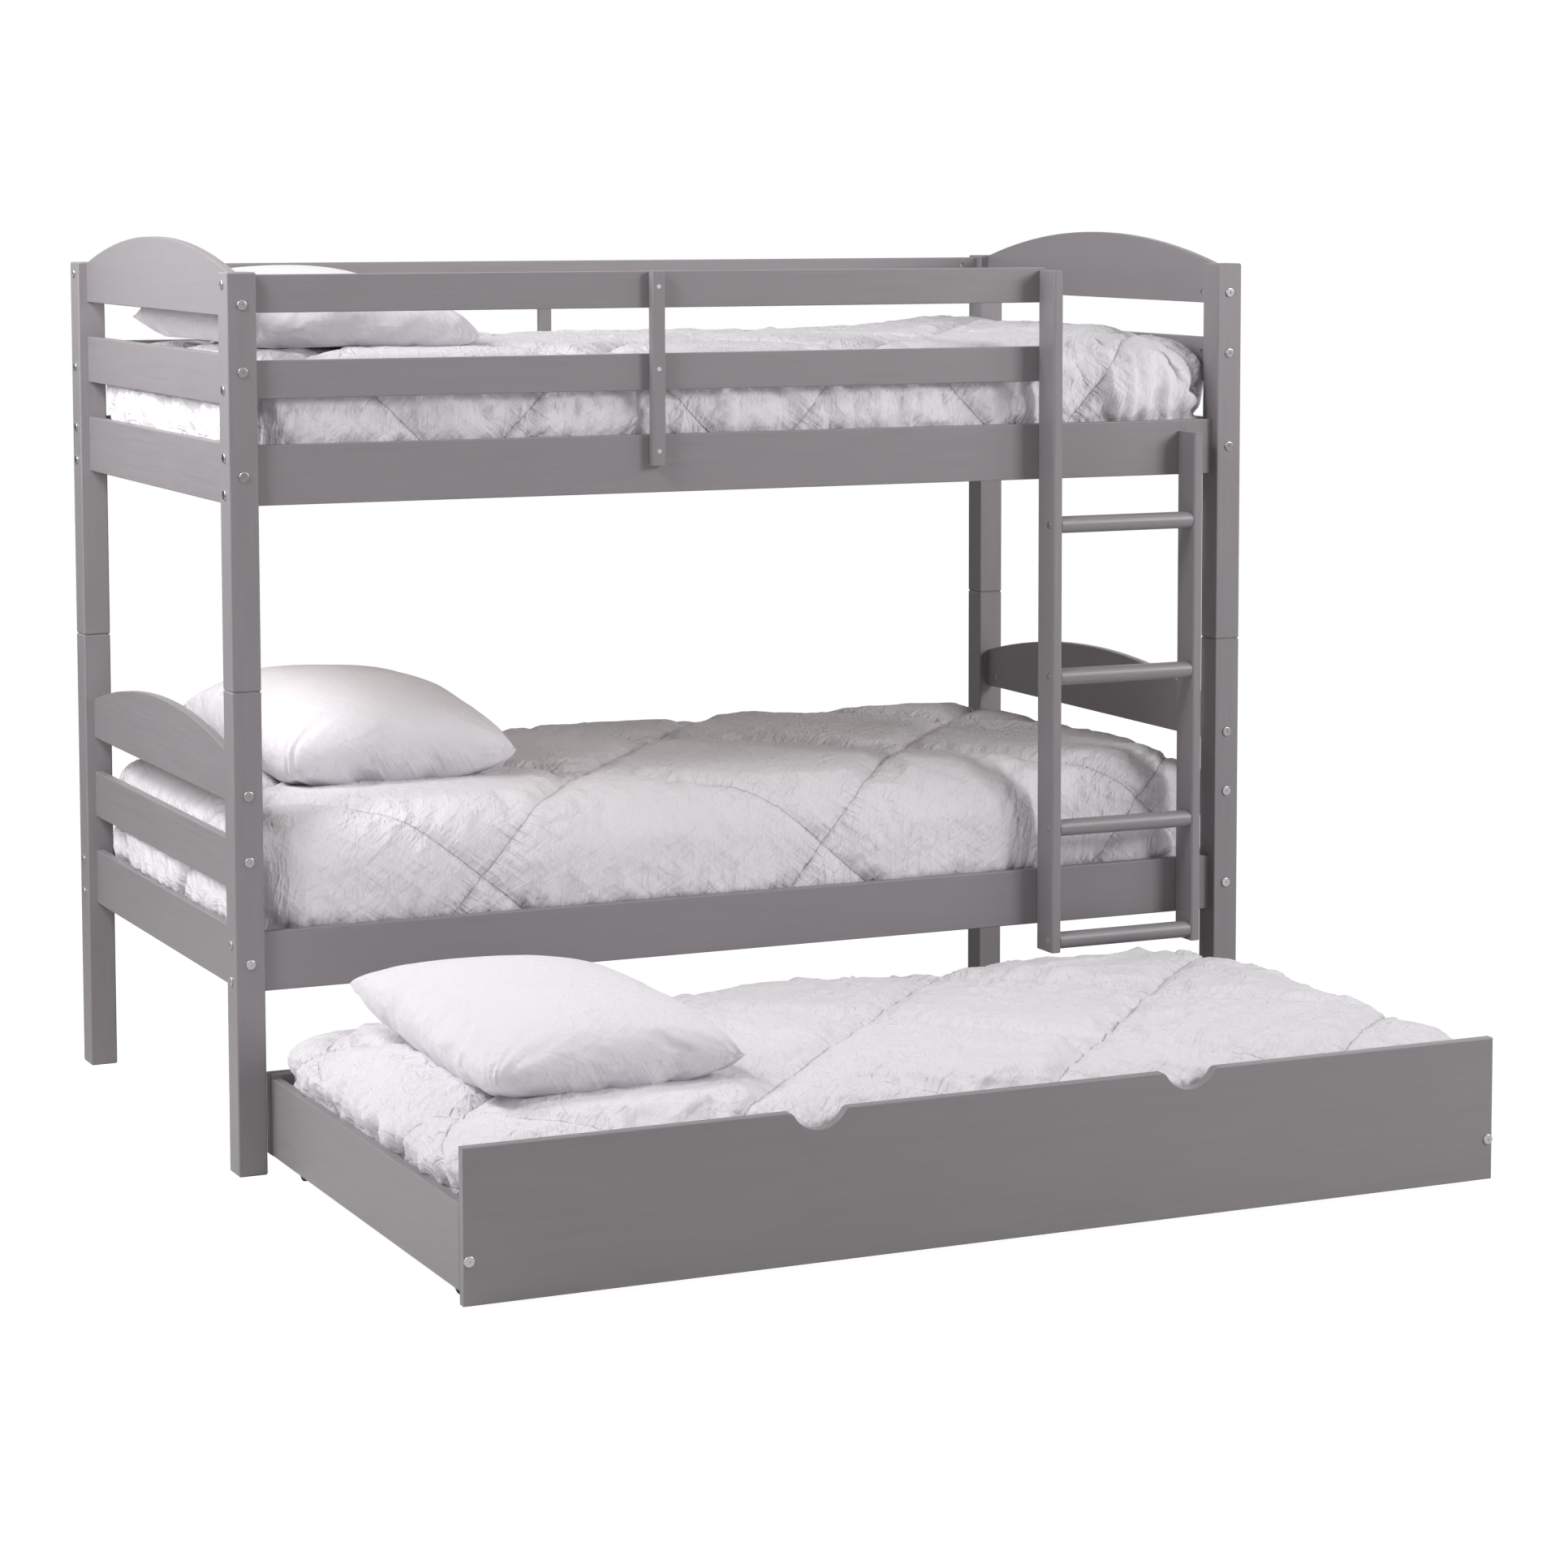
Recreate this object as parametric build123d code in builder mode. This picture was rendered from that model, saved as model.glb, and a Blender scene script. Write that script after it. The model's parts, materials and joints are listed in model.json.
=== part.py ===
from build123d import *
import math
import os

# A twin over twin bunk bed with a roll-out trundle bed, in millimetres.
# X runs along the bed, the trundle rolls out towards -Y, +Z is up and the floor is at zero.

# Whole bed
bed_length = 2007.0
bed_width = 1067.0
bed_height = 1576.0
split_height = 851.5
rail_bottom = 322.0
guard_top_gap = 4.5

# Posts
post_x = 52.0
post_y = 57.0
post_edge = 3.0
post_end_chamfer = 2.5
pin_radius = 5.0
pin_length = 60.0
pin_clearance = 0.1

# Boards of the frame
board_edge = 2.0
rail_height = 105.0
rail_thick = 20.0
end_thick = 16.0
end_slat_rise = 172.5
end_slat_height = 88.0
arch_rise = 327.0
arch_end_height = 77.0
arch_peak_height = 132.0
guard_height = 66.0
guard_top_rise = 333.5
guard_mid_rise = 185.0
guard_end_round = 8.0
guard_end_inset = 3.0
brace_width = 25.0
brace_thick = 20.0
brace_rise = 49.5
brace_top_drop = 1.5
brace_shift = -26.0
brace_edge = 3.0

# Bolts, barrel nuts and screws
bolt_radius = 3.0
bolt_head_radius = 8.8
bolt_head_height = 2.8
bolt_head_edge = 1.2
bolt_socket_radius = 2.3
socket_depth_share = 0.7
bolt_clearance = 0.25
bolt_tail = 7.0
nut_radius = 5.0
nut_length = 13.0
nut_inset = 36.0
nut_clearance = 0.1
thread_clearance = 0.05
rail_bolt_spread = 64.0
guard_bolt_shift = 16.5
arch_bolt_rise = 21.0
end_slat_bolt_shift = 15.5
screw_radius = 2.0
screw_length = 30.0
screw_head_radius = 3.9
screw_head_height = 2.2
guard_screw_length = 35.0
guard_screw_inset = 26.0
pilot_clearance = 0.05
overrun = 5.0

# Ladder
ladder_offset = 55.0
ladder_width = 323.0
ladder_bottom = 274.0
stile_width = 20.0
stile_depth = 62.0
stile_front_round = 5.0
stile_top_drop = 5.5
short_stile_drop = 21.0
rung_radius = 16.0
rung_front_inset = 1.5
first_rung_rise = 21.0
second_rung_rise = 216.0
top_rung_drop = 84.0
ladder_bolt_radius = 3.5
ladder_bolt_head_radius = 7.0
ladder_bolt_head_height = 1.2
ladder_bolt_grip = 50.0
fixing_grip = 40.0
fixing_head_radius = 6.5
fixing_head_height = 3.0

# Slat decks of both bunks
cleat_width = 20.0
cleat_height = 30.0
cleat_rise = 8.0
cleat_end_gap = 12.0
slat_count = 14
slat_width = 68.0
slat_thick = 12.0
slat_end_gap = 2.0
slat_row_inset = 12.0

# Trundle bed
trundle_travel = 1002.0
trundle_end_gap = 11.5
trundle_back_gap = 6.0
trundle_front_thick = 20.0
trundle_front_height = 248.0
trundle_front_clearance = 10.0
trundle_end_thick = 18.0
trundle_end_height = 138.0
trundle_end_clearance = 30.0
trundle_back_thick = 32.0
trundle_back_height = 145.0
trundle_bolt_rise = 50.5
notch_spacing = 678.0
notch_radius = 52.0
notch_depth = 31.0
notch_round = 12.0
trundle_cleat_width = 22.0
trundle_cleat_height = 28.0
trundle_end_cleat_width = 40.0
trundle_cleat_gap = 0.5
trundle_slat_count = 12

# Casters of the trundle
wheel_radius = 20.0
wheel_width = 18.0
wheel_edge = 2.5
axle_radius = 3.0
axle_running_clearance = 0.06
axle_fit_clearance = 0.05
axle_head_radius = 5.0
axle_head_height = 1.5
fork_gap = 20.0
fork_sheet = 2.0
fork_arm = 26.0
fork_tip_radius = 9.0
caster_height = 48.5
caster_plate_x = 38.0
caster_plate_y = 60.0
caster_plate_thick = 2.5
caster_screw_x = 27.0
caster_screw_y = 46.0
caster_inset = 110.0

# Soft goods
soft_gap = 0.3
lower_mattress_height = 256.0
upper_mattress_height = 203.0
trundle_mattress_height = 181.5
mattress_side_gap = 7.0
mattress_end_gap = 4.5
trundle_mattress_gap = 5.0
mattress_corner = 75.0
mattress_shoulder = 55.0
mattress_tuck = 12.0
mattress_crown = 9.0
mattress_crown_inset = 260.0
quilt_spacing = 410.0
quilt_angle = 45.0
quilt_offset_share = 1 / 4
quilt_channel_width = 7.0
quilt_channel_depth = 3.5
pillow_x = 450.0
pillow_y = 640.0
pillow_drawn_in = 20.0
lower_pillow_height = 190.0
lower_pillow_from_end = 352.0
lower_pillow_forward = -33.0
lower_pillow_turn = -0.5
upper_pillow_height = 150.0
upper_pillow_from_end = 270.0
upper_pillow_forward = -10.0
upper_pillow_turn = 3.0
trundle_pillow_height = 150.0
trundle_pillow_from_end = 298.0
trundle_pillow_forward = 14.0
trundle_pillow_turn = 1.0

# Places worked out from the sizes above. The bed stands with its trundle pulled out,
# and the origin is under the middle of the whole, on the floor.
rail_setback = (post_y - rail_thick) / 2
end_setback = (post_x - end_thick) / 2
bed_y = (trundle_travel - rail_setback) / 2
half_length = bed_length / 2
half_width = bed_width / 2
post_cx = half_length - post_x / 2
post_cy = half_width - post_y / 2
clear_length = bed_length - 2 * post_x
clear_width = bed_width - 2 * post_y
rail_inner_y = post_cy - rail_thick / 2
rail_outer_y = post_cy + rail_thick / 2
end_inner_x = post_cx - end_thick / 2
guard_top = bed_height - guard_top_gap
upper_base = guard_top - guard_height - guard_top_rise
levels = [("lower", rail_bottom), ("upper", upper_base)]
corners = [("front_left", -1, -1), ("front_right", 1, -1), ("back_left", -1, 1), ("back_right", 1, 1)]
sides = [("front", -1), ("back", 1)]
ends = [("left", -1), ("right", 1)]

rail_bolt_heights = [(rail_height - rail_bolt_spread) / 2, (rail_height + rail_bolt_spread) / 2]
guard_bolt_heights = [
    guard_mid_rise + guard_height / 2 - guard_bolt_shift,
    guard_top_rise + guard_height / 2 + guard_bolt_shift,
]
end_bolt_heights = [
    rail_height / 2,
    end_slat_rise + end_slat_height / 2 + end_slat_bolt_shift,
    arch_rise + arch_bolt_rise,
]

stile_right_x = half_length - post_x - ladder_offset - stile_width / 2
stile_left_x = stile_right_x - ladder_width + stile_width
stile_y = bed_y - rail_outer_y - stile_depth / 2
rung_y = bed_y - rail_outer_y - stile_depth + rung_front_inset + rung_radius
first_rung_z = ladder_bottom + first_rung_rise
second_rung_z = first_rung_z + second_rung_rise
top_rung_z = upper_base - top_rung_drop
rung_heights = [first_rung_z, second_rung_z, (second_rung_z + top_rung_z) / 2, top_rung_z]
cleat_length = clear_length - 2 * cleat_end_gap
cleat_y = rail_inner_y - cleat_width / 2
slat_row = cleat_length - 2 * slat_row_inset - slat_width
slat_xs = [slat_row * (i / (slat_count - 1) - 1 / 2) for i in range(slat_count)]
cleat_screw_xs = [(slat_xs[i] + slat_xs[i + 1]) / 2 for i in range(0, slat_count - 1, 2)]
cleat_screw_rise = cleat_rise + cleat_height / 2

guard_left_x = -clear_length / 2
guard_right_x = {"front": stile_left_x + stile_width / 2 - guard_end_inset, "back": clear_length / 2}
brace_x = {side: (guard_left_x + guard_right_x[side]) / 2 + brace_shift for side, _ in sides}
brace_bottom = upper_base + brace_rise
brace_top = guard_top - brace_top_drop
brace_screw_heights = [brace_bottom + guard_screw_inset, (brace_bottom + brace_top) / 2,
                       brace_top - guard_screw_inset]

trundle_length = clear_length - 2 * trundle_end_gap
trundle_front_y = bed_y - rail_outer_y - trundle_travel
trundle_back_y = bed_y + rail_outer_y - trundle_back_gap - trundle_travel
trundle_inner_front = trundle_front_y + trundle_front_thick
trundle_inner_back = trundle_back_y - trundle_back_thick
trundle_inner_x = trundle_length / 2 - trundle_end_thick
trundle_inner_depth = trundle_inner_back - trundle_inner_front
trundle_mid_y = (trundle_inner_front + trundle_inner_back) / 2
trundle_slat_top = caster_height + trundle_cleat_height + slat_thick
wheel_x = trundle_inner_x - trundle_end_cleat_width / 2
wheel_ys = {"front": trundle_front_y + caster_inset, "back": trundle_back_y - caster_inset}

os.makedirs("parts", exist_ok=True)


def board_along_x(length, thick, height, centre):
    """A planed board along X, its four long edges eased."""
    centre_x, centre_y, centre_z = centre
    with BuildPart() as board:
        with BuildSketch(Plane.YZ.offset(centre_x - length / 2)):
            with Locations((centre_y, centre_z)):
                RectangleRounded(thick, height, board_edge)
        extrude(amount=length)
    return board.part


def board_along_y(length, thick, height, centre):
    """A planed board along Y, its four long edges eased."""
    centre_x, centre_y, centre_z = centre
    with BuildPart() as board:
        with BuildSketch(Plane.XZ.offset(-centre_y - length / 2)):
            with Locations((centre_x, centre_z)):
                RectangleRounded(thick, height, board_edge)
        extrude(amount=length)
    return board.part


def headed_bolt(length, radius, head_radius, head_height, head_edge):
    """A round-headed bolt with a hex socket, its head's underside at zero and its shank down -Z."""
    with BuildPart() as bolt:
        Cylinder(radius, length, align=(Align.CENTER, Align.CENTER, Align.MAX))
        Cylinder(head_radius, head_height, align=(Align.CENTER, Align.CENTER, Align.MIN))
        fillet(bolt.edges().sort_by(Axis.Z)[-1], head_edge)
        with BuildSketch(Plane.XY.offset(head_height)):
            RegularPolygon(bolt_socket_radius, 6)
        extrude(amount=-head_height * socket_depth_share, mode=Mode.SUBTRACT)
    return bolt.part


def flush_screw(length):
    """A countersunk wood screw, its flat head level with zero and its shank down -Z."""
    with BuildPart() as screw:
        Cylinder(screw_radius, length, align=(Align.CENTER, Align.CENTER, Align.MAX))
        Cone(screw_radius, screw_head_radius, screw_head_height,
             align=(Align.CENTER, Align.CENTER, Align.MAX))
    return screw.part


def facing(point, direction):
    """The place at point whose +Z looks along direction."""
    return Plane(origin=point, z_dir=direction).location


# Posts, in two halves joined by a steel pin at the split
post_spans = {"lower": (0, split_height), "upper": (split_height, bed_height)}
for level, base in levels:
    low, high = post_spans[level]
    split_side = 1 if level == "lower" else -1
    for corner, side_x, side_y in corners:
        post_place = (side_x * post_cx, bed_y + side_y * post_cy, (low + high) / 2)
        x_bolt_heights = list(rail_bolt_heights)
        if level == "upper" and corner != "front_right":
            x_bolt_heights += guard_bolt_heights
        with BuildPart() as post:
            with Locations(post_place):
                Box(post_x, post_y, high - low)
            fillet(post.edges().filter_by(Axis.Z), post_edge)
            chamfer(post.faces().filter_by(Axis.Z).edges(), post_end_chamfer)
            with Locations(*[(post_place[0], post_place[1], base + rise) for rise in x_bolt_heights]):
                Cylinder(bolt_radius + bolt_clearance, post_x + overrun, rotation=(0, 90, 0),
                         mode=Mode.SUBTRACT)
            with Locations(*[(post_place[0], post_place[1], base + rise) for rise in end_bolt_heights]):
                Cylinder(bolt_radius + bolt_clearance, post_y + overrun, rotation=(90, 0, 0),
                         mode=Mode.SUBTRACT)
            with Locations((post_place[0], post_place[1], split_height)):
                Cylinder(pin_radius + pin_clearance, pin_length + 2 * pin_clearance, mode=Mode.SUBTRACT)
        post.part.label = f"{level}_post_{corner}"
        export_step(post.part, f"parts/{level}_post_{corner}.step")

with BuildPart() as post_dowel_pins:
    with Locations(*[(sx * post_cx, bed_y + sy * post_cy, split_height) for _, sx, sy in corners]):
        Cylinder(pin_radius, pin_length)
post_dowel_pins.part.label = "post_dowel_pins"
export_step(post_dowel_pins.part, "parts/post_dowel_pins.step")


def end_board(side_x, bottom, height, peak, bolt_rise):
    """A board of the head or foot end, between two posts, with a flat or an arched top."""
    half = clear_width / 2
    outer_x = side_x * post_cx - end_thick / 2
    with BuildPart() as board:
        with BuildSketch(Plane.YZ.offset(outer_x)):
            with BuildLine():
                Polyline((bed_y - half, bottom + height), (bed_y - half, bottom),
                         (bed_y + half, bottom), (bed_y + half, bottom + height))
                if peak > height:
                    ThreePointArc((bed_y + half, bottom + height), (bed_y, bottom + peak),
                                  (bed_y - half, bottom + height))
                else:
                    Line((bed_y + half, bottom + height), (bed_y - half, bottom + height))
            make_face()
        extrude(amount=end_thick)
        flat_sides = board.faces().sort_by(Axis.X)
        long_edges = (flat_sides[0].edges() + flat_sides[-1].edges()).filter_by(Axis.Z, reverse=True)
        fillet(long_edges, board_edge)
        for side_y in (-1, 1):
            with Locations((side_x * post_cx, bed_y + side_y * half, bottom + bolt_rise)):
                Cylinder(bolt_radius + bolt_clearance, 2 * (nut_inset + bolt_tail) + overrun,
                         rotation=(90, 0, 0), mode=Mode.SUBTRACT)
            nut_hole_depth = (end_thick + nut_length) / 2 + nut_clearance
            inner_x = side_x * (post_cx - end_thick / 2)
            with Locations((inner_x, bed_y + side_y * (half - nut_inset), bottom + bolt_rise)):
                Cylinder(nut_radius + nut_clearance, 2 * nut_hole_depth, rotation=(0, 90, 0),
                         mode=Mode.SUBTRACT)
    return board.part


# Head and foot ends: an arched panel, a slat and a rail on each level
for level, base in levels:
    for end, side_x in ends:
        arch_panel = end_board(side_x, base + arch_rise, arch_end_height, arch_peak_height, arch_bolt_rise)
        arch_panel.label = f"{level}_arch_panel_{end}"
        export_step(arch_panel, f"parts/{level}_arch_panel_{end}.step")
    slat_boards = [end_board(side_x, base + end_slat_rise, end_slat_height, 0,
                             end_slat_height / 2 + end_slat_bolt_shift) for _, side_x in ends]
    with BuildPart() as end_slats:
        add(slat_boards)
    end_slats.part.label = f"{level}_end_slats"
    export_step(end_slats.part, f"parts/{level}_end_slats.step")
    rail_boards = [end_board(side_x, base, rail_height, 0, rail_height / 2) for _, side_x in ends]
    with BuildPart() as end_rails:
        add(rail_boards)
    end_rails.part.label = f"{level}_end_rails"
    export_step(end_rails.part, f"parts/{level}_end_rails.step")


def cut_rail_bolt_holes(rail_ends, bottom, bolt_rises, side_y):
    """Bolt holes into the ends of a long board and blind nut holes from its inner face."""
    for end_x, inward in rail_ends:
        for rise in bolt_rises:
            with Locations((end_x, bed_y + side_y * post_cy, bottom + rise)):
                Cylinder(bolt_radius + bolt_clearance, 2 * (nut_inset + bolt_tail) + overrun,
                         rotation=(0, 90, 0), mode=Mode.SUBTRACT)
            nut_hole_depth = (rail_thick + nut_length) / 2 + nut_clearance
            with Locations((end_x + inward * nut_inset, bed_y + side_y * rail_inner_y, bottom + rise)):
                Cylinder(nut_radius + nut_clearance, 2 * nut_hole_depth, rotation=(90, 0, 0),
                         mode=Mode.SUBTRACT)


# Bolts that hold the ladder's stiles to the rails, from the rails' inner faces
ladder_fixings = [
    (stile_left_x, rail_bottom + rail_height / 2),
    (stile_right_x, rail_bottom + rail_height / 2),
    (stile_left_x, upper_base + rail_height / 2),
    (stile_right_x, upper_base + rail_height / 2),
    (stile_left_x, upper_base + guard_mid_rise + guard_height / 2),
    (stile_left_x, upper_base + guard_top_rise + guard_height / 2),
]


def cut_ladder_fixing_holes(bottom, height):
    """Counterbored holes of the ladder's fixing bolts, in a front board of this bottom and height."""
    for fixing_x, fixing_z in ladder_fixings:
        if bottom < fixing_z < bottom + height:
            with Locations(facing((fixing_x, bed_y - rail_inner_y, fixing_z), (0, 1, 0))):
                CounterBoreHole(bolt_radius + bolt_clearance, fixing_head_radius + bolt_clearance,
                                fixing_head_height)


def cut_brace_screw_holes(bottom, height, side, side_y):
    """Blind holes of the brace's screws, in a long board of this bottom and height."""
    for screw_z in brace_screw_heights:
        if bottom < screw_z < bottom + height:
            with Locations((brace_x[side], bed_y + side_y * rail_outer_y, screw_z)):
                Cylinder(screw_radius + pilot_clearance, 2 * (guard_screw_length - brace_thick),
                         rotation=(90, 0, 0), mode=Mode.SUBTRACT)


# Side rails, with the holes of the end bolts, the cleats' screws, the ladder and the braces
for level, base in levels:
    for side, side_y in sides:
        rail_blank = board_along_x(clear_length, rail_thick, rail_height,
                                   (0, bed_y + side_y * post_cy, base + rail_height / 2))
        with BuildPart() as side_rail:
            add(rail_blank)
            cut_rail_bolt_holes([(-clear_length / 2, 1), (clear_length / 2, -1)], base,
                                rail_bolt_heights, side_y)
            with Locations(*[(x, bed_y + side_y * rail_inner_y, base + cleat_screw_rise)
                             for x in cleat_screw_xs]):
                Cylinder(screw_radius + pilot_clearance, 2 * (screw_length - cleat_width),
                         rotation=(90, 0, 0), mode=Mode.SUBTRACT)
            cut_brace_screw_holes(base, rail_height, side, side_y)
            if side == "front":
                cut_ladder_fixing_holes(base, rail_height)
        side_rail.part.label = f"{level}_side_rail_{side}"
        export_step(side_rail.part, f"parts/{level}_side_rail_{side}.step")

# Guard rails of the upper bunk: the front pair stops behind the ladder's tall stile
guard_rows = [("mid", guard_mid_rise, guard_bolt_heights[0]), ("top", guard_top_rise, guard_bolt_heights[1])]
for side, side_y in sides:
    right_x = guard_right_x[side]
    for row, rise, bolt_rise in guard_rows:
        rail_blank = board_along_x(right_x - guard_left_x, rail_thick, guard_height,
                                   ((guard_left_x + right_x) / 2, bed_y + side_y * post_cy,
                                    upper_base + rise + guard_height / 2))
        with BuildPart() as guard_rail:
            add(rail_blank)
            if side == "front":
                end_face = guard_rail.faces().sort_by(Axis.X)[-1]
                fillet(end_face.edges().filter_by(Axis.Y), guard_end_round)
            rail_ends = [(guard_left_x, 1)] + ([(right_x, -1)] if side == "back" else [])
            cut_rail_bolt_holes(rail_ends, upper_base, [bolt_rise], side_y)
            cut_brace_screw_holes(upper_base + rise, guard_height, side, side_y)
            if side == "front":
                cut_ladder_fixing_holes(upper_base + rise, guard_height)
        guard_rail.part.label = f"guard_rail_{row}_{side}"
        export_step(guard_rail.part, f"parts/guard_rail_{row}_{side}.step")

    brace_outer_y = bed_y + side_y * (rail_outer_y + brace_thick)
    with BuildPart() as guard_brace:
        with BuildSketch(Plane.XY.offset(brace_bottom)):
            with Locations((brace_x[side], brace_outer_y - side_y * brace_thick / 2)):
                RectangleRounded(brace_width, brace_thick, brace_edge)
        extrude(amount=brace_top - brace_bottom)
        with Locations(*[facing((brace_x[side], brace_outer_y, screw_z), (0, side_y, 0))
                         for screw_z in brace_screw_heights]):
            CounterSinkHole(screw_radius + pilot_clearance, screw_head_radius + pilot_clearance)
    guard_brace.part.label = f"guard_brace_{side}"
    export_step(guard_brace.part, f"parts/guard_brace_{side}.step")

# Frame bolts and barrel nuts: each bolt's place, the way its head looks and its grip through the post
end_bolts = [
    ((side_x * post_cx, bed_y + side_y * half_width, base + rise), (0, side_y, 0), post_y)
    for _, base in levels for _, side_x, side_y in corners for rise in end_bolt_heights
]
side_bolts = [
    ((side_x * half_length, bed_y + side_y * post_cy, base + rise), (side_x, 0, 0), post_x)
    for _, base in levels for _, side_x, side_y in corners for rise in rail_bolt_heights
]
guard_bolts = [
    ((side_x * half_length, bed_y + side_y * post_cy, upper_base + rise), (side_x, 0, 0), post_x)
    for corner, side_x, side_y in corners if corner != "front_right" for rise in guard_bolt_heights
]
frame_bolt_places = end_bolts + side_bolts + guard_bolts

end_bolt = headed_bolt(post_y + nut_inset + bolt_tail, bolt_radius, bolt_head_radius,
                       bolt_head_height, bolt_head_edge)
side_bolt = headed_bolt(post_x + nut_inset + bolt_tail, bolt_radius, bolt_head_radius,
                        bolt_head_height, bolt_head_edge)
with BuildPart() as frame_bolts:
    add([end_bolt.moved(facing(point, look)) for point, look, _ in end_bolts])
    add([side_bolt.moved(facing(point, look)) for point, look, _ in side_bolts + guard_bolts])
frame_bolts.part.label = "frame_bolts"
export_step(frame_bolts.part, "parts/frame_bolts.step")


def barrel_nut():
    """A barrel nut along Z, crossed by the hole that the bolt screws into."""
    with BuildPart() as nut:
        Cylinder(nut_radius, nut_length)
        Cylinder(bolt_radius + thread_clearance, 2 * nut_radius + overrun, rotation=(0, 90, 0),
                 mode=Mode.SUBTRACT)
    return nut.part


frame_nut = barrel_nut()
with BuildPart() as frame_barrel_nuts:
    add([frame_nut.moved(Plane(origin=Vector(*point) - Vector(*look) * (grip + nut_inset),
                               x_dir=look, z_dir=(abs(look[1]), abs(look[0]), 0)).location)
         for point, look, grip in frame_bolt_places])
frame_barrel_nuts.part.label = "frame_barrel_nuts"
export_step(frame_barrel_nuts.part, "parts/frame_barrel_nuts.step")

# Ladder: a tall stile, a short stile and round rungs
stile_tops = {"left": guard_top - stile_top_drop, "right": upper_base + rail_height - short_stile_drop}
stile_xs = {"left": stile_left_x, "right": stile_right_x}
for end, side_x in ends:
    stile_height = stile_tops[end] - ladder_bottom
    with BuildPart() as stile:
        with Locations((stile_xs[end], stile_y, ladder_bottom + stile_height / 2)):
            Box(stile_width, stile_depth, stile_height)
        fillet(stile.edges().filter_by(Axis.Z).sort_by(Axis.Y)[:2], stile_front_round)
        fillet(stile.edges().filter_by(Axis.Z).sort_by(Axis.Y)[-2:], board_edge)
        chamfer(stile.faces().filter_by(Axis.Z).edges(), board_edge / 2)
        with Locations(*[(stile_xs[end], rung_y, height) for height in rung_heights]):
            Cylinder(ladder_bolt_radius + bolt_clearance, stile_width + overrun, rotation=(0, 90, 0),
                     mode=Mode.SUBTRACT)
        for fixing_x, fixing_z in ladder_fixings:
            if fixing_x == stile_xs[end]:
                with Locations((fixing_x, bed_y - rail_outer_y, fixing_z)):
                    Cylinder(bolt_radius + thread_clearance, 2 * (fixing_grip - rail_thick) + overrun,
                             rotation=(90, 0, 0), mode=Mode.SUBTRACT)
    stile.part.label = f"ladder_stile_{end}"
    export_step(stile.part, f"parts/ladder_stile_{end}.step")

rung_length = ladder_width - 2 * stile_width
rung_x = (stile_left_x + stile_right_x) / 2
with BuildPart() as ladder_rungs:
    with Locations(*[(rung_x, rung_y, height) for height in rung_heights]):
        Cylinder(rung_radius, rung_length, rotation=(0, 90, 0))
    for side_x in (-1, 1):
        with Locations(*[(rung_x + side_x * rung_length / 2, rung_y, height) for height in rung_heights]):
            Cylinder(ladder_bolt_radius + thread_clearance, 2 * ladder_bolt_grip + overrun,
                     rotation=(0, 90, 0), mode=Mode.SUBTRACT)
ladder_rungs.part.label = "ladder_rungs"
export_step(ladder_rungs.part, "parts/ladder_rungs.step")

ladder_bolt = headed_bolt(stile_width + ladder_bolt_grip, ladder_bolt_radius, ladder_bolt_head_radius,
                          ladder_bolt_head_height, ladder_bolt_head_height / 3)
with BuildPart() as ladder_bolts:
    add([ladder_bolt.moved(facing((stile_xs[end] + side_x * stile_width / 2, rung_y, height), (side_x, 0, 0)))
         for end, side_x in ends for height in rung_heights])
ladder_bolts.part.label = "ladder_bolts"
export_step(ladder_bolts.part, "parts/ladder_bolts.step")

fixing_bolt = headed_bolt(fixing_grip - fixing_head_height, bolt_radius, fixing_head_radius,
                          fixing_head_height, fixing_head_height / 3)
with BuildPart() as ladder_fixing_bolts:
    add([fixing_bolt.moved(facing((fixing_x, bed_y - rail_inner_y - fixing_head_height, fixing_z), (0, 1, 0)))
         for fixing_x, fixing_z in ladder_fixings])
ladder_fixing_bolts.part.label = "ladder_fixing_bolts"
export_step(ladder_fixing_bolts.part, "parts/ladder_fixing_bolts.step")

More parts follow.
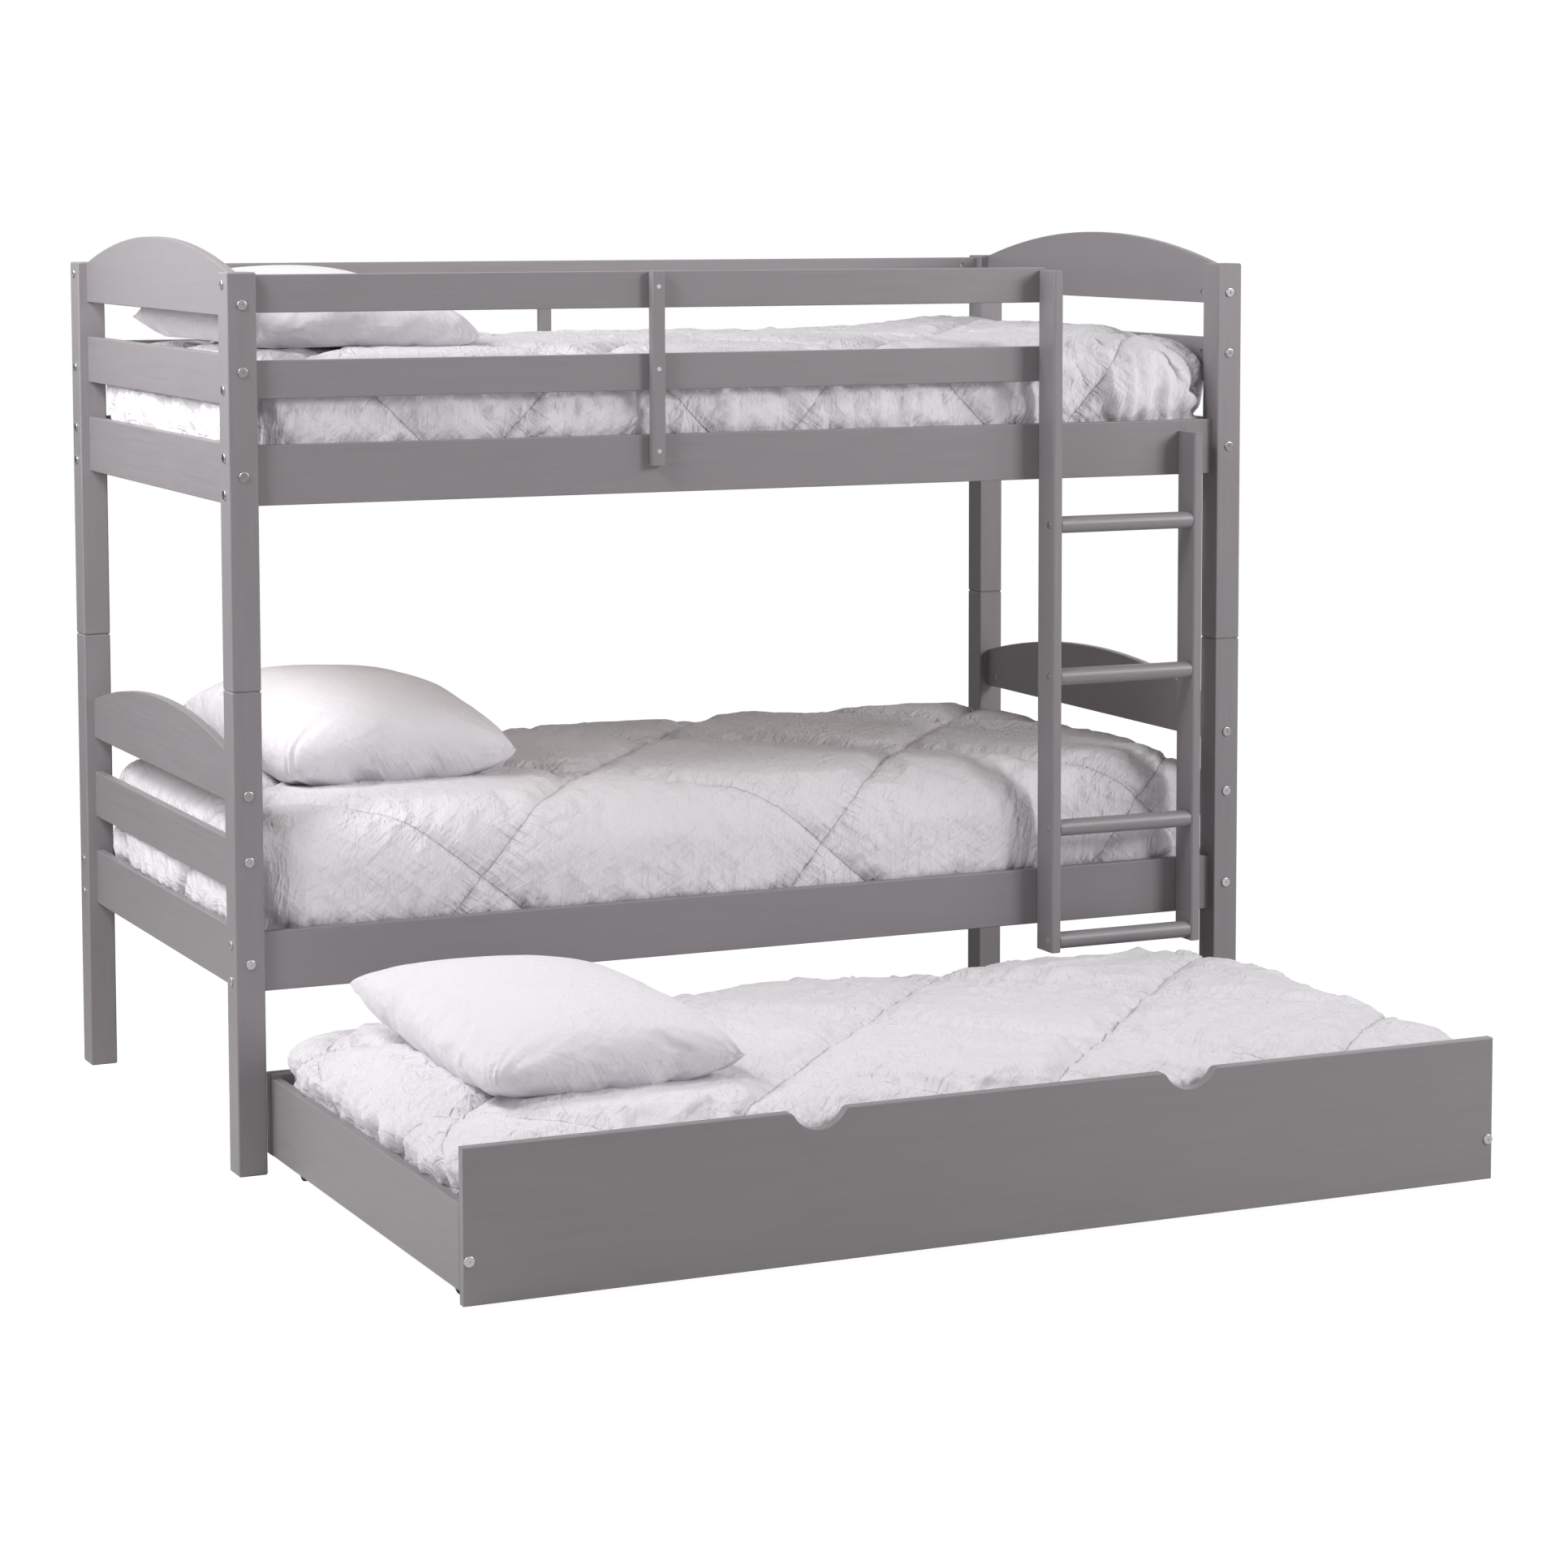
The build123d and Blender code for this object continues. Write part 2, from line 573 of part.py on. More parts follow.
# Slat decks: cleats on the side rails, slats across them and the screws of both
deck_screw = flush_screw(screw_length)
brace_screw = flush_screw(guard_screw_length)
frame_screw_solids = [
    brace_screw.moved(facing((brace_x[side], bed_y + side_y * (rail_outer_y + brace_thick), screw_z),
                             (0, side_y, 0)))
    for side, side_y in sides for screw_z in brace_screw_heights]
for level, base in levels:
    cleat_top = base + cleat_rise + cleat_height
    slat_top = cleat_top + slat_thick
    cleat_blanks = [board_along_x(cleat_length, cleat_width, cleat_height,
                                  (0, bed_y + side_y * cleat_y, base + cleat_screw_rise))
                    for _, side_y in sides]
    slat_screw_places = [(x, bed_y + side_y * cleat_y, slat_top) for x in slat_xs for _, side_y in sides]
    cleat_screw_places = [
        facing((x, bed_y + side_y * (rail_inner_y - cleat_width), base + cleat_screw_rise), (0, -side_y, 0))
        for x in cleat_screw_xs for _, side_y in sides
    ]
    with BuildPart() as cleats:
        add(cleat_blanks)
        with Locations(*slat_screw_places):
            Cylinder(screw_radius + pilot_clearance, 2 * screw_length, mode=Mode.SUBTRACT)
        with Locations(*cleat_screw_places):
            CounterSinkHole(screw_radius + pilot_clearance, screw_head_radius + pilot_clearance, cleat_width)
    cleats.part.label = f"{level}_cleats"
    export_step(cleats.part, f"parts/{level}_cleats.step")

    with BuildPart() as bed_slat:
        with Locations((0, bed_y, slat_top - slat_thick / 2)):
            Box(slat_width, 2 * (rail_inner_y - slat_end_gap), slat_thick)
        fillet(bed_slat.edges().filter_by(Axis.Y), board_edge)
        with Locations(*[facing((0, bed_y + side_y * cleat_y, slat_top), (0, 0, 1)) for _, side_y in sides]):
            CounterSinkHole(screw_radius + pilot_clearance, screw_head_radius + pilot_clearance)
    with BuildPart() as bed_slats:
        add([bed_slat.part.moved(Location((x, 0, 0))) for x in slat_xs])
    bed_slats.part.label = f"{level}_bed_slats"
    export_step(bed_slats.part, f"parts/{level}_bed_slats.step")
    frame_screw_solids += [deck_screw.moved(Location(place)) for place in slat_screw_places]
    frame_screw_solids += [deck_screw.moved(place) for place in cleat_screw_places]

with BuildPart() as frame_screws:
    add(frame_screw_solids)
frame_screws.part.label = "frame_screws"
export_step(frame_screws.part, "parts/frame_screws.step")

# Trundle box: a tall front panel with two finger notches, two end panels and a back rail
trundle_front_top = trundle_front_clearance + trundle_front_height
trundle_bolt_z = trundle_end_clearance + trundle_bolt_rise
trundle_end_cx = trundle_length / 2 - trundle_end_thick / 2
notch_centre_z = trundle_front_top + notch_radius - notch_depth
with BuildPart() as trundle_front_panel:
    with BuildSketch(Plane.XZ.offset(-trundle_front_y)) as panel_face:
        with Locations((0, trundle_front_clearance + trundle_front_height / 2)):
            Rectangle(trundle_length, trundle_front_height)
        with Locations((-notch_spacing / 2, notch_centre_z), (notch_spacing / 2, notch_centre_z)):
            Circle(notch_radius, mode=Mode.SUBTRACT)
        fillet(panel_face.vertices().sort_by(Axis.X)[2:-2], notch_round)
    extrude(amount=-trundle_front_thick)
    panel_sides = trundle_front_panel.faces().filter_by(Axis.Y)
    fillet(panel_sides.edges(), board_edge)
    with Locations(*[(side_x * trundle_end_cx, trundle_front_y, trundle_bolt_z) for _, side_x in ends]):
        Cylinder(bolt_radius + bolt_clearance, 2 * trundle_front_thick + overrun, rotation=(90, 0, 0),
                 mode=Mode.SUBTRACT)
trundle_front_panel.part.label = "trundle_front_panel"
export_step(trundle_front_panel.part, "parts/trundle_front_panel.step")

back_rail_blank = board_along_x(trundle_length, trundle_back_thick, trundle_back_height,
                                (0, trundle_back_y - trundle_back_thick / 2,
                                 trundle_end_clearance + trundle_back_height / 2))
with BuildPart() as trundle_back_rail:
    add(back_rail_blank)
    with Locations(*[(side_x * trundle_end_cx, trundle_back_y, trundle_bolt_z) for _, side_x in ends]):
        Cylinder(bolt_radius + bolt_clearance, 2 * trundle_back_thick + overrun, rotation=(90, 0, 0),
                 mode=Mode.SUBTRACT)
trundle_back_rail.part.label = "trundle_back_rail"
export_step(trundle_back_rail.part, "parts/trundle_back_rail.step")

for end, side_x in ends:
    end_panel_blank = board_along_y(trundle_inner_depth, trundle_end_thick, trundle_end_height,
                                    (side_x * trundle_end_cx, trundle_mid_y,
                                     trundle_end_clearance + trundle_end_height / 2))
    with BuildPart() as trundle_end_panel:
        add(end_panel_blank)
        for face_y, inward in ((trundle_inner_front, 1), (trundle_inner_back, -1)):
            with Locations((side_x * trundle_end_cx, face_y, trundle_bolt_z)):
                Cylinder(bolt_radius + bolt_clearance, 2 * (nut_inset + bolt_tail) + overrun,
                         rotation=(90, 0, 0), mode=Mode.SUBTRACT)
            nut_hole_depth = (trundle_end_thick + nut_length) / 2 + nut_clearance
            with Locations((side_x * trundle_inner_x, face_y + inward * nut_inset, trundle_bolt_z)):
                Cylinder(nut_radius + nut_clearance, 2 * nut_hole_depth, rotation=(0, 90, 0),
                         mode=Mode.SUBTRACT)
    trundle_end_panel.part.label = f"trundle_end_panel_{end}"
    export_step(trundle_end_panel.part, f"parts/trundle_end_panel_{end}.step")

trundle_bolt_rows = [
    (trundle_front_y, -1, trundle_front_thick),
    (trundle_back_y, 1, trundle_back_thick),
]
trundle_bolt_solids = []
for face_y, look_y, grip in trundle_bolt_rows:
    trundle_bolt = headed_bolt(grip + nut_inset + bolt_tail, bolt_radius, bolt_head_radius,
                               bolt_head_height, bolt_head_edge)
    trundle_bolt_solids += [
        trundle_bolt.moved(facing((side_x * trundle_end_cx, face_y, trundle_bolt_z), (0, look_y, 0)))
        for _, side_x in ends]
with BuildPart() as trundle_bolts:
    add(trundle_bolt_solids)
trundle_bolts.part.label = "trundle_bolts"
export_step(trundle_bolts.part, "parts/trundle_bolts.step")

with BuildPart() as trundle_barrel_nuts:
    add([frame_nut.moved(Plane(
        origin=(side_x * trundle_end_cx, face_y - look_y * (grip + nut_inset), trundle_bolt_z),
        x_dir=(0, look_y, 0), z_dir=(1, 0, 0)).location)
        for face_y, look_y, grip in trundle_bolt_rows for _, side_x in ends])
trundle_barrel_nuts.part.label = "trundle_barrel_nuts"
export_step(trundle_barrel_nuts.part, "parts/trundle_barrel_nuts.step")

# Trundle deck: two long cleats carry the slats, two end cleats carry the casters
trundle_cleat_top = caster_height + trundle_cleat_height
trundle_cleat_length = 2 * (trundle_inner_x - trundle_end_cleat_width - trundle_cleat_gap)
trundle_cleat_ys = [trundle_inner_front + trundle_cleat_width / 2, trundle_inner_back - trundle_cleat_width / 2]
trundle_slat_row = trundle_cleat_length - slat_width - 2 * slat_row_inset
trundle_slat_xs = [trundle_slat_row * (i / (trundle_slat_count - 1) - 1 / 2)
                   for i in range(trundle_slat_count)]
caster_places = [(side_x * wheel_x, wheel_ys[side]) for side, _ in sides for _, side_x in ends]
caster_screw_places = [
    (x + dx * caster_screw_x / 2, y + dy * caster_screw_y / 2, caster_height - caster_plate_thick)
    for x, y in caster_places for dx in (-1, 1) for dy in (-1, 1)
]
trundle_cleat_z = trundle_cleat_top - trundle_cleat_height / 2
trundle_cleat_blanks = [
    board_along_x(trundle_cleat_length, trundle_cleat_width, trundle_cleat_height, (0, y, trundle_cleat_z))
    for y in trundle_cleat_ys]
trundle_cleat_blanks += [
    board_along_y(trundle_inner_depth, trundle_end_cleat_width, trundle_cleat_height,
                  (side_x * wheel_x, trundle_mid_y, trundle_cleat_z))
    for _, side_x in ends]
with BuildPart() as trundle_cleats:
    add(trundle_cleat_blanks)
    with Locations(*[(x, y, trundle_slat_top) for x in trundle_slat_xs for y in trundle_cleat_ys]):
        Cylinder(screw_radius + pilot_clearance, 2 * screw_length, mode=Mode.SUBTRACT)
    with Locations(*caster_screw_places):
        Cylinder(screw_radius + pilot_clearance, 2 * (trundle_cleat_height - overrun), mode=Mode.SUBTRACT)
trundle_cleats.part.label = "trundle_cleats"
export_step(trundle_cleats.part, "parts/trundle_cleats.step")

with BuildPart() as trundle_slat:
    with Locations((0, trundle_mid_y, trundle_slat_top - slat_thick / 2)):
        Box(slat_width, trundle_inner_depth - 2 * slat_end_gap, slat_thick)
    fillet(trundle_slat.edges().filter_by(Axis.Y), board_edge)
    with Locations(*[facing((0, y, trundle_slat_top), (0, 0, 1)) for y in trundle_cleat_ys]):
        CounterSinkHole(screw_radius + pilot_clearance, screw_head_radius + pilot_clearance)
with BuildPart() as trundle_slats:
    add([trundle_slat.part.moved(Location((x, 0, 0))) for x in trundle_slat_xs])
trundle_slats.part.label = "trundle_slats"
export_step(trundle_slats.part, "parts/trundle_slats.step")

# Casters: a folded fork under a plate, an axle and a wheel each
with BuildPart() as caster_fork:
    with Locations((0, 0, caster_height - caster_plate_thick / 2)):
        Box(caster_plate_x, caster_plate_y, caster_plate_thick)
    fillet(caster_fork.edges().filter_by(Axis.Z), board_edge)
    for side_x in (-1, 1):
        arm_x = side_x * (fork_gap + fork_sheet) / 2
        with BuildSketch(Plane.YZ.offset(arm_x)):
            with BuildLine():
                plate_z = caster_height - caster_plate_thick
                Polyline((-fork_tip_radius, wheel_radius), (-fork_arm / 2, plate_z),
                         (fork_arm / 2, plate_z), (fork_tip_radius, wheel_radius))
                ThreePointArc((fork_tip_radius, wheel_radius), (0, wheel_radius - fork_tip_radius),
                              (-fork_tip_radius, wheel_radius))
            make_face()
            with Locations((0, wheel_radius)):
                Circle(axle_radius + axle_fit_clearance, mode=Mode.SUBTRACT)
        extrude(amount=fork_sheet / 2, both=True)
    plate_bottom = caster_height - caster_plate_thick
    with Locations(*[facing((dx * caster_screw_x / 2, dy * caster_screw_y / 2, plate_bottom), (0, 0, -1))
                     for dx in (-1, 1) for dy in (-1, 1)]):
        CounterSinkHole(screw_radius + pilot_clearance, screw_head_radius + pilot_clearance)
with BuildPart() as caster_forks:
    add([caster_fork.part.moved(Location((x, y, 0))) for x, y in caster_places])
caster_forks.part.label = "caster_forks"
export_step(caster_forks.part, "parts/caster_forks.step")

with BuildPart() as caster_axles:
    with Locations(*[(x, y, wheel_radius) for x, y in caster_places]):
        Cylinder(axle_radius, fork_gap + 2 * fork_sheet + 2 * axle_head_height, rotation=(0, 90, 0))
    for side_x in (-1, 1):
        head_x = side_x * (fork_gap / 2 + fork_sheet + axle_head_height / 2)
        with Locations(*[(x + head_x, y, wheel_radius) for x, y in caster_places]):
            Cylinder(axle_head_radius, axle_head_height, rotation=(0, 90, 0))
caster_axles.part.label = "caster_axles"
export_step(caster_axles.part, "parts/caster_axles.step")

for side, _ in sides:
    for end, side_x in ends:
        with BuildPart() as caster_wheel:
            with Locations((side_x * wheel_x, wheel_ys[side], wheel_radius)):
                Cylinder(wheel_radius, wheel_width, rotation=(0, 90, 0))
            fillet(caster_wheel.edges(), wheel_edge)
            with Locations((side_x * wheel_x, wheel_ys[side], wheel_radius)):
                Cylinder(axle_radius + axle_running_clearance, wheel_width + overrun,
                         rotation=(0, 90, 0), mode=Mode.SUBTRACT)
        caster_wheel.part.label = f"caster_wheel_{side}_{end}"
        export_step(caster_wheel.part, f"parts/caster_wheel_{side}_{end}.step")

caster_screw = flush_screw(trundle_cleat_height - overrun)
with BuildPart() as trundle_screws:
    add([deck_screw.moved(Location((x, y, trundle_slat_top)))
         for x in trundle_slat_xs for y in trundle_cleat_ys])
    add([caster_screw.moved(facing(place, (0, 0, -1))) for place in caster_screw_places])
trundle_screws.part.label = "trundle_screws"
export_step(trundle_screws.part, "parts/trundle_screws.step")


def quilted_body(length, width, corner, bottom, top, centre_y):
    """A mattress in its comforter: tucked in below, square sides, round shoulders and a low crown."""
    side_top = top - mattress_crown - mattress_shoulder
    rings = [(bottom, mattress_tuck), (bottom + mattress_tuck, mattress_tuck / 3),
             (bottom + 3 * mattress_tuck, 0), (side_top, 0)]
    shoulder_turns = (20, 40, 60, 80)
    for turn in shoulder_turns:
        angle = math.radians(turn)
        rings.append((side_top + mattress_shoulder * math.sin(angle),
                      mattress_shoulder * (1 - math.cos(angle))))
    rings.append((top - mattress_crown / 3, mattress_crown_inset / 2))
    rings.append((top, mattress_crown_inset))
    with BuildPart() as body:
        for height, inset in rings:
            with BuildSketch(Plane.XY.offset(height)):
                with Locations((0, centre_y)):
                    RectangleRounded(length - 2 * inset, width - 2 * inset,
                                     max(corner - inset / 2, corner / 3))
        loft(ruled=True)
    return body.part


def quilted_mattress(length, width, bottom, top, centre_y):
    """The same body with its stitched diamond channels pressed into the top."""
    depth = quilt_channel_depth
    body = quilted_body(length, width, mattress_corner, bottom, top, centre_y)
    core = quilted_body(length - 2 * depth, width - 2 * depth, mattress_corner - depth,
                        bottom + depth, top - depth, centre_y)
    diagonal = math.hypot(length, width)
    lines = int(diagonal / 2 / quilt_spacing)
    shoulder_z = top - mattress_crown - mattress_shoulder
    with BuildPart() as channels:
        with BuildSketch(Plane.XY.offset(shoulder_z)):
            for turn in (quilt_angle, -quilt_angle):
                with Locations(Location((0, centre_y, 0), (0, 0, turn))):
                    with Locations(*[(0, (i + quilt_offset_share) * quilt_spacing)
                                     for i in range(-lines, lines + 1)]):
                        Rectangle(diagonal, quilt_channel_width)
        extrude(amount=top + overrun - shoulder_z)
        add(core, mode=Mode.SUBTRACT)
    with BuildPart() as mattress:
        add(body)
        add(channels.part, mode=Mode.SUBTRACT)
    return mattress.part


# Mattresses, each dressed in a quilted comforter
slat_rise = cleat_rise + cleat_height + slat_thick
bunk_mattress = (2 * (end_inner_x - mattress_end_gap), 2 * (rail_inner_y - mattress_side_gap))
trundle_mattress = (2 * (trundle_inner_x - trundle_mattress_gap), trundle_inner_depth - 2 * trundle_mattress_gap)
lower_mattress_top = rail_bottom + slat_rise + lower_mattress_height
upper_mattress_top = upper_base + slat_rise + upper_mattress_height
trundle_mattress_top = trundle_slat_top + trundle_mattress_height
mattresses = [
    ("lower_mattress", bunk_mattress, rail_bottom + slat_rise, lower_mattress_top, bed_y),
    ("upper_mattress", bunk_mattress, upper_base + slat_rise, upper_mattress_top, bed_y),
    ("trundle_mattress", trundle_mattress, trundle_slat_top, trundle_mattress_top, trundle_mid_y),
]
for name, plan, bottom, top, centre_y in mattresses:
    mattress = quilted_mattress(plan[0], plan[1], bottom + soft_gap, top, centre_y)
    mattress.label = name
    export_step(mattress, f"parts/{name}.step")


def pillow(centre_x, centre_y, bottom, height, turn):
    """A filled pillow: flat where it lies, drawn in between its corners at the seam, crowned on top."""
    ring_height_shares = (0, 0.12, 0.36, 0.62, 0.86, 1)
    ring_inset_shares = (0.26, 0.09, 0, 0.1, 0.3, 0.62)
    ring_bow_shares = (0.5, -0.4, -1, 0.2, 1, 1.4)
    with BuildPart() as cushion:
        for ring_height, inset, bow in zip(ring_height_shares, ring_inset_shares, ring_bow_shares):
            half_x = pillow_x / 2 * (1 - inset)
            half_y = pillow_y / 2 - pillow_x / 2 * inset
            bulge = pillow_drawn_in * bow
            tips = [(-half_x, -half_y), (half_x, -half_y), (half_x, half_y), (-half_x, half_y)]
            mids = [(0, -half_y - bulge), (half_x + bulge, 0), (0, half_y + bulge), (-half_x - bulge, 0)]
            ring_plane = Plane(origin=(centre_x, centre_y, bottom + ring_height * height))
            with BuildSketch(ring_plane.rotated((0, 0, turn))):
                with BuildLine():
                    for i in range(4):
                        ThreePointArc(tips[i], mids[i], tips[(i + 1) % 4])
                make_face()
        loft()
    return cushion.part


# Pillows at the head end, each lying on its mattress a little askew
pillows = [
    ("lower_pillow", lower_pillow_from_end - end_inner_x, bed_y - lower_pillow_forward,
     lower_mattress_top, lower_pillow_height, lower_pillow_turn),
    ("upper_pillow", upper_pillow_from_end - end_inner_x, bed_y - upper_pillow_forward,
     upper_mattress_top, upper_pillow_height, upper_pillow_turn),
    ("trundle_pillow", trundle_pillow_from_end - trundle_inner_x, trundle_mid_y - trundle_pillow_forward,
     trundle_mattress_top, trundle_pillow_height, trundle_pillow_turn),
]
for name, centre_x, centre_y, mattress_top, height, turn in pillows:
    cushion = pillow(centre_x, centre_y, mattress_top + soft_gap, height, turn)
    cushion.label = name
    export_step(cushion, f"parts/{name}.step")
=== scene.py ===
import bpy
import json
import math
import numpy as np
from mathutils import Matrix, Vector, noise


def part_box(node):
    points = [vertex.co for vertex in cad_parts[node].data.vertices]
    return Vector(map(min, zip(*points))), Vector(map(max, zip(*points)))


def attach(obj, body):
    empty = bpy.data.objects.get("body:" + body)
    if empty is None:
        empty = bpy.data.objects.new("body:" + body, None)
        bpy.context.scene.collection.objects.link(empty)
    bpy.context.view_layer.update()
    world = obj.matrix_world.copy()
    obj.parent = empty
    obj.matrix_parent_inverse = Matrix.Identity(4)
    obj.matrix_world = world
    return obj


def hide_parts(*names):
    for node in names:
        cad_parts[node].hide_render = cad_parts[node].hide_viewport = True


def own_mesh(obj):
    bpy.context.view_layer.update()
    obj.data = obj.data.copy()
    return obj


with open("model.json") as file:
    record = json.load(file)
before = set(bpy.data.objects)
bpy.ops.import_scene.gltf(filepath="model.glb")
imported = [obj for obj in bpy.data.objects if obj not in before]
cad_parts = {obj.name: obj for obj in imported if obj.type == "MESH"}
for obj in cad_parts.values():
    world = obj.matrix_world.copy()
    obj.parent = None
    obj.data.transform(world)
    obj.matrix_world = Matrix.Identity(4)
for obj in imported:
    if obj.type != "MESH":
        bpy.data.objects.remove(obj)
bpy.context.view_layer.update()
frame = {"nodes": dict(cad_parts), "record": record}

MM = 0.001

# The middle of the bed frame from front to back, in metres
BED_Y = (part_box("upper_post_front_left")[0].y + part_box("upper_post_back_left")[1].y) / 2

# Camera, fitted to measured corners of the posts, rails and trundle in the photograph
PHOTO_SIZE = 1932
CAMERA_PLACE = (-2.9878, BED_Y - 7.3199, 1.7240)
CAMERA_YAW = 0.45042
CAMERA_PITCH = -0.08891
CAMERA_ROLL = 0.0006
FOCAL_PIXELS = 5015.48
CAMERA_SHIFT = (-0.08, -0.15)
SENSOR = 36.0


def make_camera():
    data = bpy.data.cameras.new("camera")
    data.sensor_width = SENSOR
    data.lens = FOCAL_PIXELS / PHOTO_SIZE * SENSOR
    data.shift_x, data.shift_y = CAMERA_SHIFT
    camera = bpy.data.objects.new("camera", data)
    bpy.context.scene.collection.objects.link(camera)
    camera.location = CAMERA_PLACE
    tilt = Matrix.Rotation(math.pi / 2 + CAMERA_PITCH, 4, "X")
    turn = Matrix.Rotation(-CAMERA_YAW, 4, "Z")
    roll = Matrix.Rotation(CAMERA_ROLL, 4, "Z")
    camera.rotation_euler = (turn @ tilt @ roll).to_euler()
    bpy.context.scene.camera = camera


# Nodes of a material

def new_material(name):
    """A material with an empty Principled shader: (material, nodes, links, shader)."""
    material = bpy.data.materials.new(name)
    material.use_nodes = True
    tree = material.node_tree
    return material, tree.nodes, tree.links, tree.nodes["Principled BSDF"]


def stretched_noise(nodes, links, stretch, scale, detail, distortion=0.0):
    """Noise in object coordinates, its cells stretched by the three factors."""
    coords = nodes.new("ShaderNodeTexCoord")
    mapping = nodes.new("ShaderNodeMapping")
    mapping.inputs["Scale"].default_value = stretch
    texture = nodes.new("ShaderNodeTexNoise")
    texture.inputs["Scale"].default_value = scale
    texture.inputs["Detail"].default_value = detail
    texture.inputs["Distortion"].default_value = distortion
    links.new(coords.outputs["Object"], mapping.inputs["Vector"])
    links.new(mapping.outputs["Vector"], texture.inputs["Vector"])
    return texture.outputs["Fac"]


def colour_ramp(nodes, links, factor, stops):
    """A ramp over factor through the (place, colour) stops."""
    ramp = nodes.new("ShaderNodeValToRGB")
    ramp.color_ramp.elements[0].position, ramp.color_ramp.elements[1].position = stops[0][0], stops[-1][0]
    ramp.color_ramp.elements[0].color, ramp.color_ramp.elements[1].color = stops[0][1], stops[-1][1]
    for place, colour in stops[1:-1]:
        ramp.color_ramp.elements.new(place).color = colour
    links.new(factor, ramp.inputs["Fac"])
    return ramp.outputs["Color"]


def shade(colour, factor):
    """The colour made brighter or darker, with full alpha."""
    return tuple(min(1.0, c * factor) for c in colour) + (1.0,)


def math_node(nodes, links, operation, first, second):
    """A Math node on two sockets or numbers."""
    node = nodes.new("ShaderNodeMath")
    node.operation = operation
    for socket, value in zip(node.inputs, (first, second)):
        if isinstance(value, (int, float)):
            socket.default_value = value
        else:
            links.new(value, socket)
    return node.outputs["Value"]


def bump(nodes, links, height, strength, distance, below=None):
    """A Bump node over height, added to the normal of the one below it."""
    node = nodes.new("ShaderNodeBump")
    node.inputs["Strength"].default_value = strength
    node.inputs["Distance"].default_value = distance
    links.new(height, node.inputs["Height"])
    if below is not None:
        links.new(below, node.inputs["Normal"])
    return node.outputs["Normal"]


PAINT = (0.255, 0.238, 0.250)
PINE = (0.60, 0.43, 0.26)
GRAIN_STRETCH = {"X": (2.0, 60.0, 60.0), "Y": (60.0, 2.0, 60.0), "Z": (60.0, 60.0, 2.0)}


def painted_wood(grain_axis):
    """Satin grey paint, with the board's grain showing faintly through it."""
    material, nodes, links, shader = new_material(f"grey_paint_grain_{grain_axis.lower()}")
    grain = stretched_noise(nodes, links, GRAIN_STRETCH[grain_axis], 3.0, 6.0)
    clouds = stretched_noise(nodes, links, (1.0, 1.0, 1.0), 2.5, 3.0)
    speckle = stretched_noise(nodes, links, (1.0, 1.0, 1.0), 700.0, 2.0)
    tone = math_node(nodes, links, "ADD", math_node(nodes, links, "MULTIPLY", grain, 0.6),
                     math_node(nodes, links, "MULTIPLY", clouds, 0.4))
    colour = colour_ramp(nodes, links, tone, [(0.30, shade(PAINT, 0.95)), (0.5, shade(PAINT, 1.0)),
                                              (0.70, shade(PAINT, 1.04))])
    links.new(colour, shader.inputs["Base Color"])
    roughness = colour_ramp(nodes, links, grain, [(0.3, (0.36,) * 3 + (1,)), (0.7, (0.48,) * 3 + (1,))])
    links.new(roughness, shader.inputs["Roughness"])
    rough_bump = bump(nodes, links, speckle, 0.10, 0.0004)
    links.new(bump(nodes, links, grain, 0.09, 0.001, rough_bump), shader.inputs["Normal"])
    return material


def bare_pine(grain_axis):
    """Unpainted wood of the slats, with its grain."""
    material, nodes, links, shader = new_material("bare_pine")
    grain = stretched_noise(nodes, links, GRAIN_STRETCH[grain_axis], 2.2, 8.0)
    colour = colour_ramp(nodes, links, grain, [(0.3, shade(PINE, 0.72)), (0.55, shade(PINE, 1.0)),
                                               (0.7, shade(PINE, 1.12))])
    links.new(colour, shader.inputs["Base Color"])
    shader.inputs["Roughness"].default_value = 0.62
    links.new(bump(nodes, links, grain, 0.2, 0.0008), shader.inputs["Normal"])
    return material


def bright_metal(name, colour, roughness):
    """Plated steel with fine turning marks."""
    material, nodes, links, shader = new_material(name)
    marks = stretched_noise(nodes, links, (1.0, 1.0, 1.0), 900.0, 3.0)
    tone = colour_ramp(nodes, links, marks, [(0.3, shade(colour, 0.86)), (0.7, shade(colour, 1.08))])
    links.new(tone, shader.inputs["Base Color"])
    shader.inputs["Metallic"].default_value = 1.0
    shader.inputs["Roughness"].default_value = roughness
    links.new(bump(nodes, links, marks, 0.12, 0.0002), shader.inputs["Normal"])
    return material


def black_plastic():
    """Moulded black plastic of the wheels."""
    material, nodes, links, shader = new_material("black_plastic")
    grain = stretched_noise(nodes, links, (1.0, 1.0, 1.0), 1200.0, 2.0)
    tone = colour_ramp(nodes, links, grain, [(0.3, (0.012, 0.012, 0.013, 1)),
                                             (0.7, (0.028, 0.028, 0.030, 1))])
    links.new(tone, shader.inputs["Base Color"])
    shader.inputs["Roughness"].default_value = 0.5
    links.new(bump(nodes, links, grain, 0.25, 0.0003), shader.inputs["Normal"])
    return material


COTTON = (0.80, 0.775, 0.81)
SEAM_HALF_WIDTH = 2.2 * MM
GROOVE_DEPTH = 1.5 * MM

# Folds of the cloth in the shader: cells per metre along and across, and for creases their angle
MAIN_CREASE = ((9, 36), 35)
OTHER_CREASES = (((8, 30), -40), ((20, 70), 75))
GATHER_CELLS = (34, 3)
PUCKER_CELLS = (52, 7)
GATHER_FADE = 100 * MM
PUCKER_FADE = 40 * MM
# Folded noise reaches about 0.25, so the first gain brings a fold to its full height
FULL_GAIN = 4
LESSER_GAIN = 3


def attribute(nodes, name):
    """The value that the cloth carries under this name."""
    node = nodes.new("ShaderNodeAttribute")
    node.attribute_name = name
    return node.outputs["Fac"]


